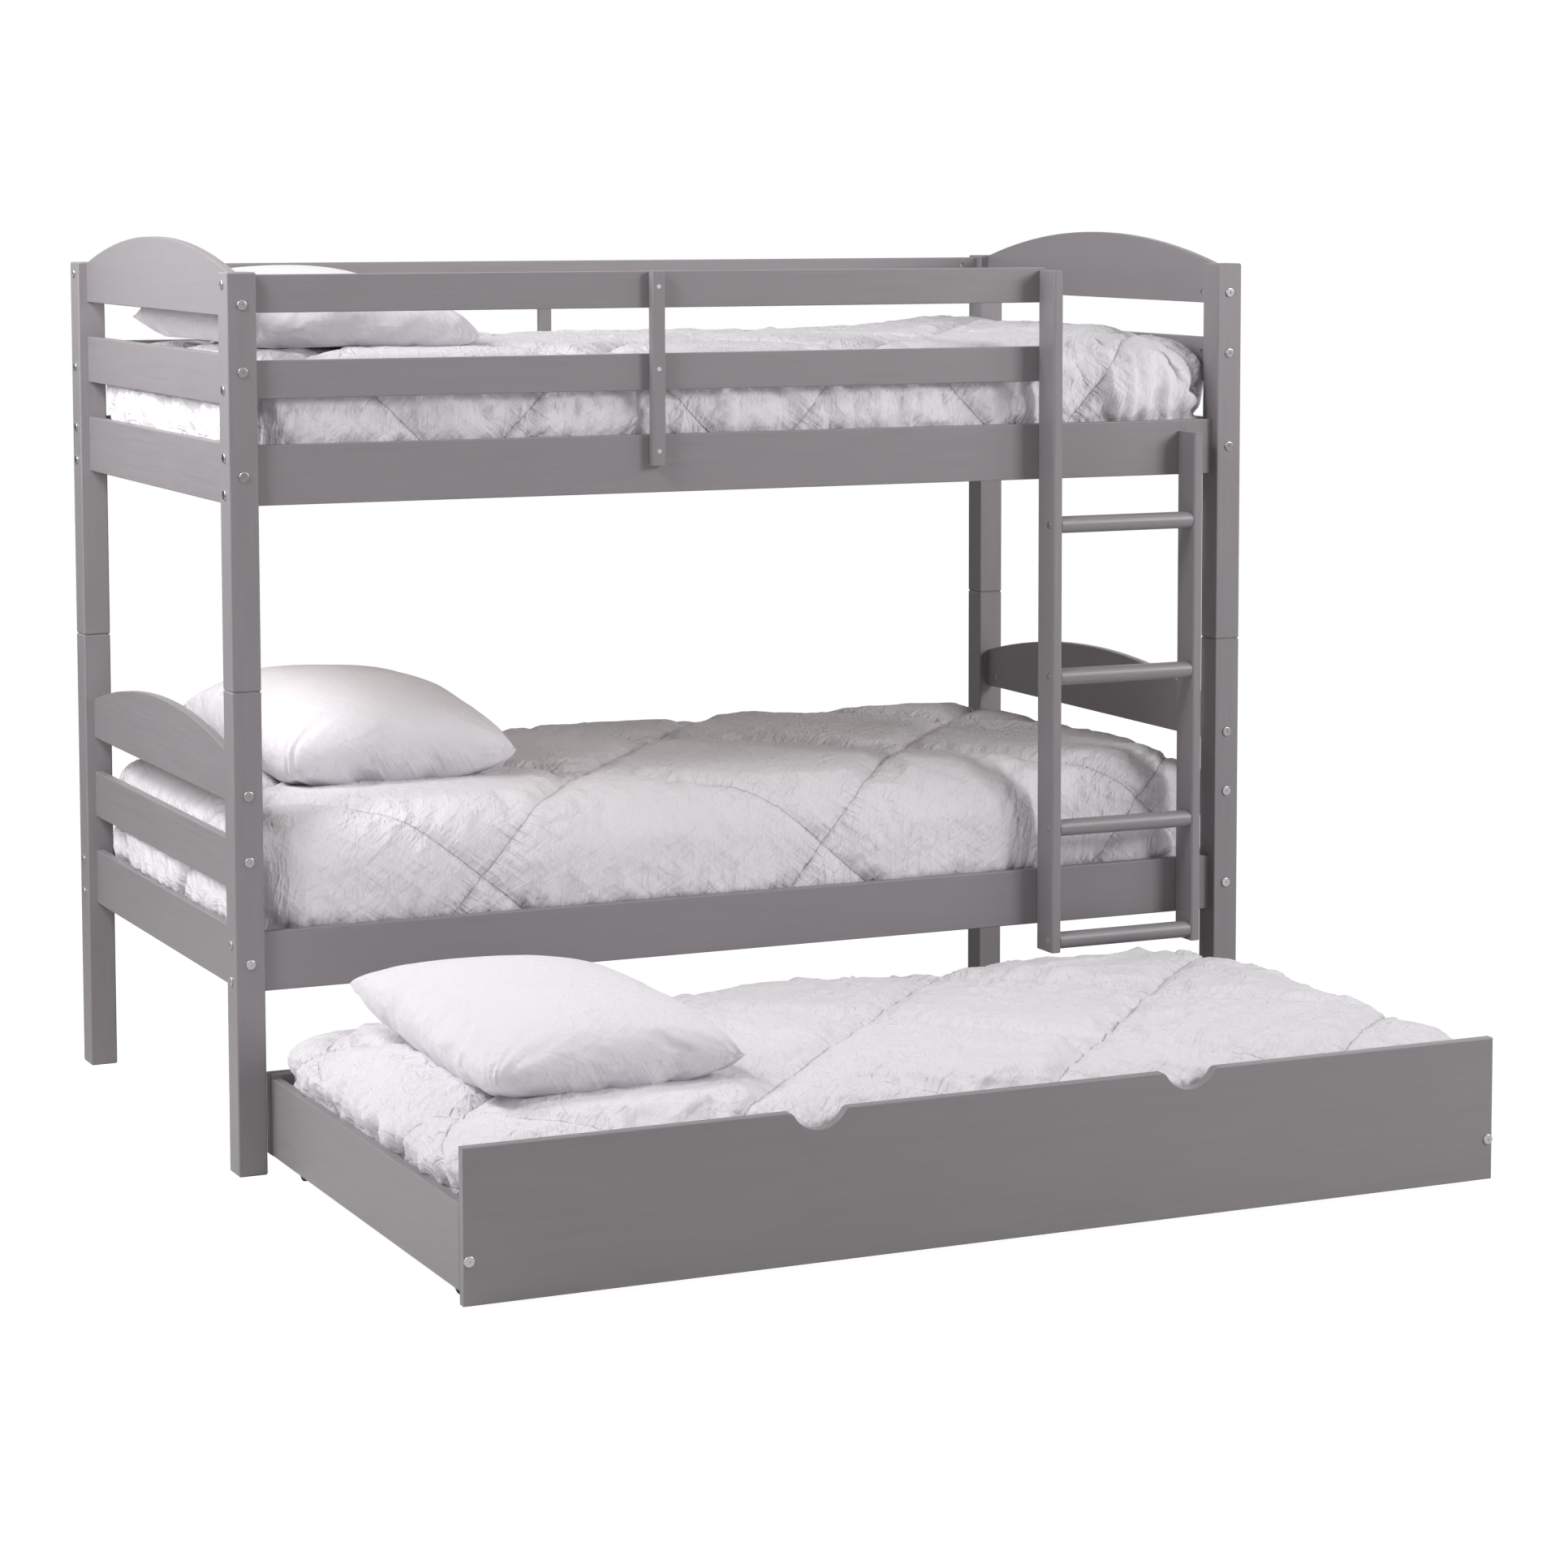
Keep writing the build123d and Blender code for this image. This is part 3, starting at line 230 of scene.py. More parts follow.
def folded_noise(nodes, links, first, second, scales, turn=0.0, detail=3.0):
    """Creased noise over two coordinates of the cloth: 0 along the creases, up to about 0.25 between."""
    combine = nodes.new("ShaderNodeCombineXYZ")
    links.new(first, combine.inputs["X"])
    links.new(second, combine.inputs["Y"])
    mapping = nodes.new("ShaderNodeMapping")
    mapping.vector_type = "TEXTURE"
    mapping.inputs["Rotation"].default_value = (0, 0, math.radians(turn))
    mapping.inputs["Scale"].default_value = (1 / scales[0], 1 / scales[1], 1)
    links.new(combine.outputs["Vector"], mapping.inputs["Vector"])
    texture = nodes.new("ShaderNodeTexNoise")
    texture.inputs["Scale"].default_value = 1.0
    texture.inputs["Detail"].default_value = detail
    texture.inputs["Distortion"].default_value = 0.25
    links.new(mapping.outputs["Vector"], texture.inputs["Vector"])
    centred = math_node(nodes, links, "SUBTRACT", texture.outputs["Fac"], 0.5)
    return math_node(nodes, links, "ABSOLUTE", centred, 0.0)


def fading(nodes, links, distance, reach):
    """1 at no distance, falling off over the reach."""
    return math_node(nodes, links, "EXPONENT", math_node(nodes, links, "DIVIDE", distance, -reach), 0.0)


def times(nodes, links, *values):
    """The product of sockets and numbers."""
    product = values[0]
    for value in values[1:]:
        product = math_node(nodes, links, "MULTIPLY", product, value)
    return product


def cotton(name, seams, groove_shade_tone, pucker, gather, crease):
    """White cotton: a fine weave, creases, stitched grooves with puckers across them, gathered sides.

    The cloth carries its coordinates as attributes: flat_u and flat_v, for every family of seams the
    way along, the phase across and the spacing, and for the gathers the way round and the height above.
    Pucker, gather and crease are the heights of these folds in metres. The tone given after the seams is
    painted shade: it darkens the colour across the stitched grooves, and 1 leaves them undarkened.
    """
    material, nodes, links, shader = new_material(name)
    flat_u, flat_v = attribute(nodes, "flat_u"), attribute(nodes, "flat_v")
    patches = stretched_noise(nodes, links, (1.0, 1.0, 1.0), 5.0, 2.0)
    weave = stretched_noise(nodes, links, (1.0, 1.0, 1.0), 1600.0, 2.0)
    tone = colour_ramp(nodes, links, patches, [(0.3, shade(COTTON, 0.98)), (0.7, shade(COTTON, 1.01))])
    height = times(nodes, links, crease * FULL_GAIN, patches,
                   folded_noise(nodes, links, flat_u, flat_v, *MAIN_CREASE))
    for scales, turn in OTHER_CREASES:
        more = times(nodes, links, crease * LESSER_GAIN, patches,
                     folded_noise(nodes, links, flat_u, flat_v, scales, turn))
        height = math_node(nodes, links, "ADD", height, more)
    above = math_node(nodes, links, "MAXIMUM", attribute(nodes, "above_tuck"), 0.0)
    around = attribute(nodes, "around")
    more = times(nodes, links, gather * FULL_GAIN, fading(nodes, links, above, GATHER_FADE),
                 folded_noise(nodes, links, around, above, GATHER_CELLS))
    height = math_node(nodes, links, "ADD", height, more)
    grooves = []
    for seam in seams:
        phase, spacing = attribute(nodes, f"phase_{seam}"), attribute(nodes, f"spacing_{seam}")
        along = attribute(nodes, f"along_{seam}")
        across = times(nodes, links, phase, spacing)
        away = times(nodes, links, math_node(nodes, links, "PINGPONG", phase, 0.5), spacing)
        more = times(nodes, links, pucker * FULL_GAIN, fading(nodes, links, away, PUCKER_FADE),
                     folded_noise(nodes, links, along, across, PUCKER_CELLS))
        height = math_node(nodes, links, "ADD", height, more)
        widened = math_node(nodes, links, "DIVIDE", away, SEAM_HALF_WIDTH)
        grooves.append(math_node(nodes, links, "MINIMUM", widened, 1.0))
    normal = bump(nodes, links, weave, 0.10, 0.0003)
    normal = bump(nodes, links, height, 1.0, 1.0, normal)
    for groove in grooves:
        normal = bump(nodes, links, groove, 1.0, GROOVE_DEPTH, normal)
        # Painted shade: across each stitched groove the colour is multiplied towards the groove tone, as if
        # shade fell in the recess
        painted_groove_shade = nodes.new("ShaderNodeMix")
        painted_groove_shade.data_type = "RGBA"
        painted_groove_shade.blend_type = "MULTIPLY"
        links.new(math_node(nodes, links, "SUBTRACT", 1.0, groove), painted_groove_shade.inputs["Factor"])
        links.new(tone, painted_groove_shade.inputs["A"])
        painted_groove_shade.inputs["B"].default_value = (groove_shade_tone, groove_shade_tone, groove_shade_tone, 1)
        tone = painted_groove_shade.outputs["Result"]
    links.new(tone, shader.inputs["Base Color"])
    links.new(normal, shader.inputs["Normal"])
    shader.inputs["Roughness"].default_value = 0.85
    shader.inputs["Sheen Weight"].default_value = 0.15
    shader.inputs["Sheen Roughness"].default_value = 0.5
    return material


def assign(obj, material):
    """Gives the object this material alone."""
    obj.data.materials.clear()
    obj.data.materials.append(material)


def dress_cad_nodes():
    """Gives each CAD node the material of its slot; a board's grain runs along its longest side."""
    paints = {axis: painted_wood(axis) for axis in "XYZ"}
    others = {
        "natural_slat_wood": bare_pine("Y"),
        "bright_bolt_steel": bright_metal("bolt_steel", (0.56, 0.56, 0.57), 0.22),
        "zinc_steel": bright_metal("zinc_plate", (0.55, 0.56, 0.58), 0.38),
        "black_wheel_plastic": black_plastic(),
    }
    for part in frame["record"]["subparts"]:
        name, slot = part["node"], part["material_slot"]
        obj = frame["nodes"][name]
        if slot == "grey_painted_wood":
            low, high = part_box(name)
            sides = list(high - low)
            axis = "XYZ"[sides.index(max(sides))]
            # These nodes hold the boards of both ends, so their box is longest along the bed
            if name.startswith(("upper_end", "lower_end")):
                axis = "Y"
            assign(obj, paints[axis])
        elif slot in others:
            assign(obj, others[slot])


# Meshes

def new_object(name, vertices, faces):
    mesh = bpy.data.meshes.new(name)
    mesh.from_pydata([tuple(v) for v in vertices], [], faces)
    mesh.update()
    obj = bpy.data.objects.new(name, mesh)
    bpy.context.scene.collection.objects.link(obj)
    return obj


def apply_modifiers(obj):
    """Replaces the object's mesh by what its modifiers make of it."""
    graph = bpy.context.evaluated_depsgraph_get()
    mesh = bpy.data.meshes.new_from_object(obj.evaluated_get(graph))
    old = obj.data
    obj.modifiers.clear()
    obj.data = mesh
    bpy.data.meshes.remove(old)


def vertex_array(obj, field="co"):
    """The places of the vertices, or their normals where field is "normal", one row for each."""
    flat = np.empty(len(obj.data.vertices) * 3)
    obj.data.vertices.foreach_get(field, flat)
    return flat.reshape(-1, 3)


def set_vertices(obj, points):
    obj.data.vertices.foreach_set("co", points.ravel())
    obj.data.update()


def smooth_noise(points, scale, seed):
    """Perlin noise at each point, about -1 to 1."""
    offset = Vector((seed * 3.1, seed * 7.7, seed * 1.3))
    return np.array([noise.noise(Vector(p) * scale + offset) for p in points])


def folds(values, sharpness):
    """Turns noise into creases: 1 on the line where the noise is zero, falling to 0 beside it."""
    return np.clip(1 - np.abs(values) * 2.4, 0, 1) ** sharpness


def crumple(flat, wavelength, seed):
    """Creases over the flat cloth in three directions, each direction in patches of its own."""
    flat3 = np.c_[flat, np.zeros(len(flat))]
    warped = flat + 0.35 * wavelength * np.stack(
        [smooth_noise(flat3, 0.6 / wavelength, seed), smooth_noise(flat3, 0.6 / wavelength, seed + 1)], 1)
    total = np.zeros(len(flat))
    for step, angle in enumerate((20, 80, 140)):
        turn = math.radians(angle)
        across = warped[:, 1] * math.cos(turn) - warped[:, 0] * math.sin(turn)
        along = warped[:, 0] * math.cos(turn) + warped[:, 1] * math.sin(turn)
        lines = np.c_[across / wavelength, along / (3.5 * wavelength), np.zeros(len(flat))]
        patch = np.clip(smooth_noise(flat3, 0.3 / wavelength, seed + 2 + step) * 2.5 + 0.35, 0, 1)
        total += folds(smooth_noise(lines, 1.0, seed + 5 + step), 2.5) * patch
    return total


def subdivide(obj):
    modifier = obj.modifiers.new("finer", "SUBSURF")
    modifier.levels = 1
    modifier.render_levels = 1
    apply_modifiers(obj)


def smooth_shading(obj):
    obj.data.polygons.foreach_set("use_smooth", [True] * len(obj.data.polygons))


def run_cloth(obj, frames, pressure, growth, pins=None, bending=0.5):
    """Blows the closed mesh up as cloth a little larger than its pattern, then keeps the result."""
    cloth = obj.modifiers.new("cloth", "CLOTH")
    settings = cloth.settings
    settings.quality = 5
    settings.mass = 0.25
    settings.tension_stiffness = 18
    settings.compression_stiffness = 10
    settings.shear_stiffness = 6
    settings.bending_stiffness = bending
    settings.air_damping = 3
    settings.use_pressure = True
    settings.uniform_pressure_force = pressure
    settings.shrink_min = -growth
    settings.effector_weights.gravity = 0.0
    cloth.collision_settings.use_collision = False
    if pins is not None:
        group = obj.vertex_groups.new(name="pinned")
        for index in np.nonzero(pins)[0]:
            group.add([int(index)], 1.0, "REPLACE")
        settings.vertex_group_mass = "pinned"
    cloth.point_cache.frame_start = 1
    cloth.point_cache.frame_end = frames
    scene = bpy.context.scene
    for step in range(1, frames + 1):
        scene.frame_set(step)
    apply_modifiers(obj)
    obj.vertex_groups.clear()
    scene.frame_set(1)


def keep_close(obj, points, reach):
    """Draws the blown-up cloth back to within reach of the points that it started from."""
    moved = vertex_array(obj) - points
    size = np.linalg.norm(moved, axis=1, keepdims=True)
    set_vertices(obj, points + moved * np.minimum(1, reach / np.maximum(size, 1e-9)))


# Quilted covers of the mattresses

COVER_CORNER = 75 * MM
COVER_SHOULDER = 52 * MM
COVER_TUCK = 14 * MM
COVER_CROWN = 10 * MM
COVER_SWELL = 7 * MM
# Rings of the low crown: the share of the crown that is still above the ring, and its inset
CROWN_RINGS = ((0.5, 110 * MM), (0.1, 240 * MM), (0.0, 380 * MM))
CORNER_TIGHTENING = 0.12
RING_POINTS = 160
COVER_VOXEL = 12 * MM

# What the cloth run holds still, and how far it may move the rest
TUCKED_HEIGHT = 22 * MM
PINNED_HALF_WIDTH = 6.5 * MM
COVER_REACH = 16 * MM

# Creases of the cover: height, distance from crease to crease, and step of the seed
CRINKLES = ((3.6 * MM, 80 * MM, 20), (1.6 * MM, 34 * MM, 40))
SEAM_DIP = 5.5 * MM
SEAM_DIP_WIDTH = 9 * MM
PUCKER_HEIGHT = 3.6 * MM
PUCKER_REACH = 38 * MM
PUCKER_START = 5 * MM
SEAM_SWAY = 16 * MM

# The right end, in metres along X: where its extra fullness starts, and over what length it grows
RIGHT_END_START = 0.45
RIGHT_END_LENGTH = 0.3
# The bulge over the end panels: over what length and what height it grows
END_LENGTH = 160 * MM
BULGE_HEIGHT = 35 * MM

# Both families of stitch lines: slope, a point that one line runs through on the flat cover, and
# the way from line to line along X. Then the gathered folds round the sides, with their depth and
# the height over which they fade, and the strength of the creases. For right_fill and end_bulge see
# quilted_cover.
COVERS = {
    "lower": dict(quilt=[(1.25, (-0.534, -0.590), 0.65), (-0.90, (-0.534, -0.590), 0.697)], seed=3,
                  gather_depth=8 * MM, gather_reach=70 * MM, crinkle=0.75),
    "upper": dict(quilt=[(1.1, (-0.470, -0.590), 0.56), (-1.0, (-0.640, -0.600), 0.56)], seed=14,
                  gather_depth=8 * MM, gather_reach=250 * MM, crinkle=1.2, right_fill=18 * MM),
    "trundle": dict(quilt=[(1.12, (-0.018, 0.024), 0.565), (-0.95, (0.305, -0.247), 0.60)], seed=27,
                    gather_depth=7 * MM, gather_reach=120 * MM, crinkle=1.7, end_bulge=20 * MM),
}


def rounded_ring(half_x, half_y, corner, z, centre):
    """The points of a rounded rectangle, evenly spread by angle on its corners and by length between."""
    corner = min(corner, half_x * 0.98, half_y * 0.98)
    straight_x, straight_y = half_x - corner, half_y - corner
    lengths = [2 * straight_y, math.pi / 2 * corner, 2 * straight_x, math.pi / 2 * corner] * 2
    total = sum(lengths)
    points = []
    for i in range(RING_POINTS):
        along = total * i / RING_POINTS
        side = 0
        while along > lengths[side]:
            along -= lengths[side]
            side += 1
        quarter = side // 2
        if side % 2 == 0:
            start = [(half_x, -straight_y), (straight_x, half_y),
                     (-half_x, straight_y), (-straight_x, -half_y)]
            step = [(0, 1), (-1, 0), (0, -1), (1, 0)]
            x = start[quarter][0] + step[quarter][0] * along
            y = start[quarter][1] + step[quarter][1] * along
        else:
            angle = quarter * math.pi / 2 + along / corner
            hub = [(straight_x, straight_y), (-straight_x, straight_y),
                   (-straight_x, -straight_y), (straight_x, -straight_y)][quarter]
            x = hub[0] + corner * math.cos(angle)
            y = hub[1] + corner * math.sin(angle)
        points.append((centre[0] + x, centre[1] + y, z))
    return points


def cover_shape(name, low, high, shrink):
    """A mattress in its cover as a closed shape: tucked in below, round shoulders, a low crown."""
    half_x = (high.x - low.x) / 2 - shrink
    half_y = (high.y - low.y) / 2 - shrink
    centre = ((high.x + low.x) / 2, (high.y + low.y) / 2)
    top, bottom = high.z - shrink, low.z
    side_top = top - COVER_CROWN - COVER_SHOULDER
    rings = [(bottom, COVER_TUCK + 4 * MM), (bottom + 2 * MM, COVER_TUCK / 2), (bottom + COVER_TUCK, 0),
             (side_top, 0)]
    for turn in range(10, 90, 10):
        angle = math.radians(turn)
        rings.append((side_top + COVER_SHOULDER * math.sin(angle), COVER_SHOULDER * (1 - math.cos(angle))))
    rings += [(top - COVER_CROWN * share, inset) for share, inset in CROWN_RINGS]
    points = []
    for z, inset in rings:
        corner = COVER_CORNER - inset * CORNER_TIGHTENING
        points += rounded_ring(half_x - inset, half_y - inset, corner, z, centre)
    faces = [tuple(range(RING_POINTS - 1, -1, -1))]
    for ring in range(len(rings) - 1):
        for i in range(RING_POINTS):
            after = (i + 1) % RING_POINTS
            first, second = ring * RING_POINTS, (ring + 1) * RING_POINTS
            faces.append((first + i, first + after, second + after, second + i))
    faces.append(tuple(range((len(rings) - 1) * RING_POINTS, len(rings) * RING_POINTS)))
    return new_object(name, points, faces)


def voxel_remesh(obj, size):
    modifier = obj.modifiers.new("remesh", "REMESH")
    modifier.mode = "VOXEL"
    modifier.voxel_size = size
    modifier.use_smooth_shade = True
    apply_modifiers(obj)


def unfolded(points, low, high):
    """Each point's place on the cover laid flat: shoulders and sides are folded out round the top."""
    centre = np.array([(low.x + high.x) / 2, (low.y + high.y) / 2])
    core = np.array([(high.x - low.x) / 2, (high.y - low.y) / 2]) - COVER_CORNER
    plan = points[:, :2] - centre
    outward = plan - np.clip(plan, -core, core)
    outward /= np.maximum(np.linalg.norm(outward, axis=1, keepdims=True), 1e-6)
    drop = np.clip(high.z - COVER_CROWN - points[:, 2], 0, None)
    turn = np.arccos(np.clip(1 - drop / COVER_SHOULDER, 0, 1))
    extra = COVER_SHOULDER * (turn - np.sin(turn)) + np.clip(drop - COVER_SHOULDER, 0, None)
    return plan + outward * extra[:, None]


def seam_fields(flat, quilt, seed):
    """Where each point of the flat cover lies between the stitch lines, for both families of lines.

    Gives for a family the signed distance to the nearest line, the way along it, the phase, which is
    a whole number on every line, and the distance from line to line.
    """
    flat3 = np.c_[flat, np.zeros(len(flat))]
    sway = np.stack([smooth_noise(flat3, 2.6, seed), smooth_noise(flat3, 2.6, seed + 9)], 1) * SEAM_SWAY
    u, v = (flat + sway).T
    fields = []
    for slope, through, gap in quilt:
        offset = (v - through[1]) - slope * (u - through[0])
        step = gap * abs(slope)
        length = math.hypot(1, slope)
        phase = offset / step
        spacing = step / length
        fields.append(((phase - np.round(phase)) * spacing, (u + slope * v) / length, phase, spacing))
    return fields


def keep_in(points, boxes, centre):
    """Moves the points that lie in a board, or beyond it, to the board's face that looks at the centre."""
    beyond = 80 * MM
    for low, high in boxes:
        low, high = list(low), list(high)
        inner = []
        for axis in (0, 1):
            if (low[axis] + high[axis]) / 2 < centre[axis]:
                inner.append(high[axis])
                low[axis] -= beyond
            else:
                inner.append(low[axis])
                high[axis] += beyond
        inside = np.all((points > low) & (points < high), axis=1)
        for index in np.nonzero(inside)[0]:
            _, axis = min((abs(points[index, axis] - inner[axis]), axis) for axis in (0, 1))
            points[index, axis] = inner[axis]
    return points


def store(obj, name, values):
    """Keeps one value for each vertex on the mesh, under this name."""
    layer = obj.data.attributes.new(name, "FLOAT", "POINT")
    layer.data.foreach_set("value", values.astype(np.float32))


def stored(obj, name):
    """The values that store has kept, carried through any modifiers since."""
    values = np.empty(len(obj.data.vertices), dtype=np.float32)
    obj.data.attributes[name].data.foreach_get("value", values)
    return values.astype(float)


def quilted_cover(name, node, quilt, seed, material, walls, tuck_z, gather_depth, gather_reach, crinkle,
                  end_bulge=0.0, right_fill=0.0):
    """A mattress's quilted comforter: blown up between its stitch lines, then grooved and puckered.

    It is gathered into upright folds round its sides, deepest below tuck_z where it is tucked in, and
    above that it swells out over the end panels by end_bulge. Its right end is fuller by right_fill.
    """
    low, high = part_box(node)
    cover = cover_shape(name, low, high, COVER_SWELL)
    voxel_remesh(cover, COVER_VOXEL)
    points = vertex_array(cover)
    flat = unfolded(points, low, high)
    store(cover, "flat_u", flat[:, 0])
    store(cover, "flat_v", flat[:, 1])
    fields = seam_fields(flat, quilt, seed)
    near_seam = np.minimum(np.abs(fields[0][0]), np.abs(fields[1][0]))
    tucked = points[:, 2] < low.z + TUCKED_HEIGHT
    run_cloth(cover, frames=20, pressure=4.0, growth=0.035,
              pins=tucked | (near_seam < PINNED_HALF_WIDTH), bending=0.3)
    keep_close(cover, points, COVER_REACH)
    subdivide(cover)

    points, normals = vertex_array(cover), vertex_array(cover, "normal")
    flat = np.stack([stored(cover, "flat_u"), stored(cover, "flat_v")], 1)
    fields = seam_fields(flat, quilt, seed)
    lift = crinkle * sum(height * crumple(flat, wavelength, seed + step)
                         for height, wavelength, step in CRINKLES)
    for signed, along, _, _ in fields:
        away = np.abs(signed)
        lift -= SEAM_DIP * np.exp(-(away / SEAM_DIP_WIDTH) ** 2)
        fan = np.c_[along * 38, signed * 8, np.full(len(along), seed)]
        pucker = folds(smooth_noise(fan, 1.0, seed + 3), 1.5) - 0.4
        lift += PUCKER_HEIGHT * pucker * np.exp(-away / PUCKER_REACH) * (1 - np.exp(-away / PUCKER_START))
    sideways = np.clip(np.linalg.norm(normals[:, :2], axis=1) * 1.6 - 0.6, 0, 1)
    near_right = np.clip((points[:, 0] - RIGHT_END_START) / RIGHT_END_LENGTH, 0, 1) ** 2 * (right_fill > 0)
    endways = 1 + 0.8 * np.abs(normals[:, 0]) + 0.8 * near_right
    lift += right_fill * near_right * np.clip(normals[:, 2] * 3 + 0.6, 0, 1)
    above_tuck = np.clip(points[:, 2] - tuck_z, 0, None)
    around = np.c_[points[:, :2] * 21, points[:, 2] * 4]
    rough = smooth_noise(around, 1.0, seed + 11) + 0.2 * smooth_noise(around, 2.3, seed + 12)
    gather = folds(rough, 1.4) - 0.45
    lift += gather_depth * gather * endways * sideways * np.exp(-above_tuck / gather_reach)
    lift[points[:, 2] < low.z + 4 * MM] = 0
    points = points + normals * lift[:, None]
    over = np.clip((points[:, 2] - tuck_z - 2 * MM) / BULGE_HEIGHT, 0, 1)
    end_room = np.abs(points[:, 0] - (low.x + high.x) / 2) - (high.x - low.x) / 2 + END_LENGTH
    points[:, 0] += np.sign(points[:, 0]) * end_bulge * over * np.clip(end_room / END_LENGTH, 0, 1)
    points = keep_in(points, walls, ((low.x + high.x) / 2, (low.y + high.y) / 2))
    points[:, 2] = np.maximum(points[:, 2], low.z)
    set_vertices(cover, points)
    for index, (_, along, phase, spacing) in enumerate(fields):
        store(cover, f"along_{index}", along)
        store(cover, f"phase_{index}", phase)
        store(cover, f"spacing_{index}", np.full(len(phase), spacing))
    store(cover, "above_tuck", points[:, 2] - tuck_z + 30 * MM * (1 - sideways))
    store(cover, "around", points[:, 0] + points[:, 1])
    smooth_shading(cover)
    assign(cover, material)
    return cover


# Pillows

PILLOW_X = 0.45
PILLOW_Y = 0.64
PILLOW_COUNTS = ((60, 86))
# How far the cloth run may move the pillow case
PILLOW_REACH = 14 * MM
# Wrinkles: their height and reach from the seam, the same from a corner, and the height of wide dents
SEAM_WRINKLE = 4.0 * MM
SEAM_WRINKLE_REACH = 45 * MM
CORNER_WRINKLE = 9.0 * MM
CORNER_REACH = 200 * MM
DENTS = 5.0 * MM
# How far a corner that isn't named as blunt is pushed in, as a share of the side
POINTED = 0.005
# Turn in degrees, share of the height below the seam, how far the sides are drawn in, where the
# fullest part is, the blunt corners, and how far corners are lifted. A corner is named by its sides.
PILLOWS = {
    "lower": dict(turn=-0.5, seam_share=0.33, draw_in=0.05, crown_shift=(-0.08, -0.05),
                  blunt={(-1, -1): 0.08}, corner_lifts={(-1, 1): 35 * MM}, seed=5),
    "upper": dict(turn=3.0, seam_share=0.3, draw_in=0.06, crown_shift=(-0.05, 0.2),
                  blunt={(-1, -1): 0.08}, corner_lifts={(1, -1): -35 * MM, (-1, -1): -20 * MM}, seed=11),
    "trundle": dict(turn=1.0, seam_share=0.36, draw_in=0.04, crown_shift=(0.0, 0.1),
                    blunt={(-1, -1): 0.08}, corner_lifts={(-1, 1): 50 * MM}, seed=21),
}


def near_corner(s, t, side_x, side_y):
    """1 at the corner on these sides of the pillow, falling to 0 towards its middle."""
    return np.clip((side_x * s + 1) / 2, 0, 1) ** 3 * np.clip((side_y * t + 1) / 2, 0, 1) ** 3


def pillow_form(name, height, seam_share, draw_in, crown_shift, blunt):
    """A filled pillow case: two bulging sheets that meet in a seam round the border.

    Gives the closed mesh, with the distance from the seam stored on it. The lower sheet is flat where
    the pillow lies, crown_shift moves the fullest part along X and Y, and blunt names the corners that
    are pushed in and round.
    """
    count_x, count_y = PILLOW_COUNTS
    index, points, seam = {}, [], []
    for layer in (1, -1):
        for i in range(count_x + 1):
            for j in range(count_y + 1):
                border = i in (0, count_x) or j in (0, count_y)
                key = (i, j, 0 if border else layer)
                if key in index:
                    continue
                index[key] = len(points)
                s = math.sin(math.pi * (i / count_x - 0.5))
                t = math.sin(math.pi * (j / count_y - 0.5))
                corner = (1 if s > 0 else -1, 1 if t > 0 else -1)
                pushed = blunt.get(corner, POINTED) * (abs(s) * abs(t)) ** 5
                drawn_x = 1 - draw_in * (1 - t * t) * abs(s) ** 3 - pushed * PILLOW_Y / PILLOW_X
                drawn_y = 1 - 0.7 * draw_in * (1 - s * s) * abs(t) ** 3 - pushed
                x = PILLOW_X / 2 * s * drawn_x
                y = PILLOW_Y / 2 * t * drawn_y
                roundness = 0.5 - blunt.get(corner, POINTED) * (abs(s) * abs(t)) ** 2
                full = ((1 - abs(s) ** 2.4) * (1 - abs(t) ** 2.8)) ** roundness
                full *= 1 + crown_shift[0] * s + crown_shift[1] * t
                if layer == 1:
                    z = height * (1 - seam_share) * full
                else:
                    z = -height * seam_share * min(1, full * 1.7) ** 0.9
                points.append((x, y, 0 if border else z))
                seam.append(0 if border else abs(z))
    faces = []
    for layer in (1, -1):
        for i in range(count_x):
            for j in range(count_y):
                quad = []
                for a, b in ((i, j), (i + 1, j), (i + 1, j + 1), (i, j + 1)):
                    border = a in (0, count_x) or b in (0, count_y)
                    quad.append(index[(a, b, 0 if border else layer)])
                faces.append(tuple(quad if layer == 1 else quad[::-1]))
    case = new_object(name, points, faces)
    store(case, "seam_0", np.array(seam))
    return case


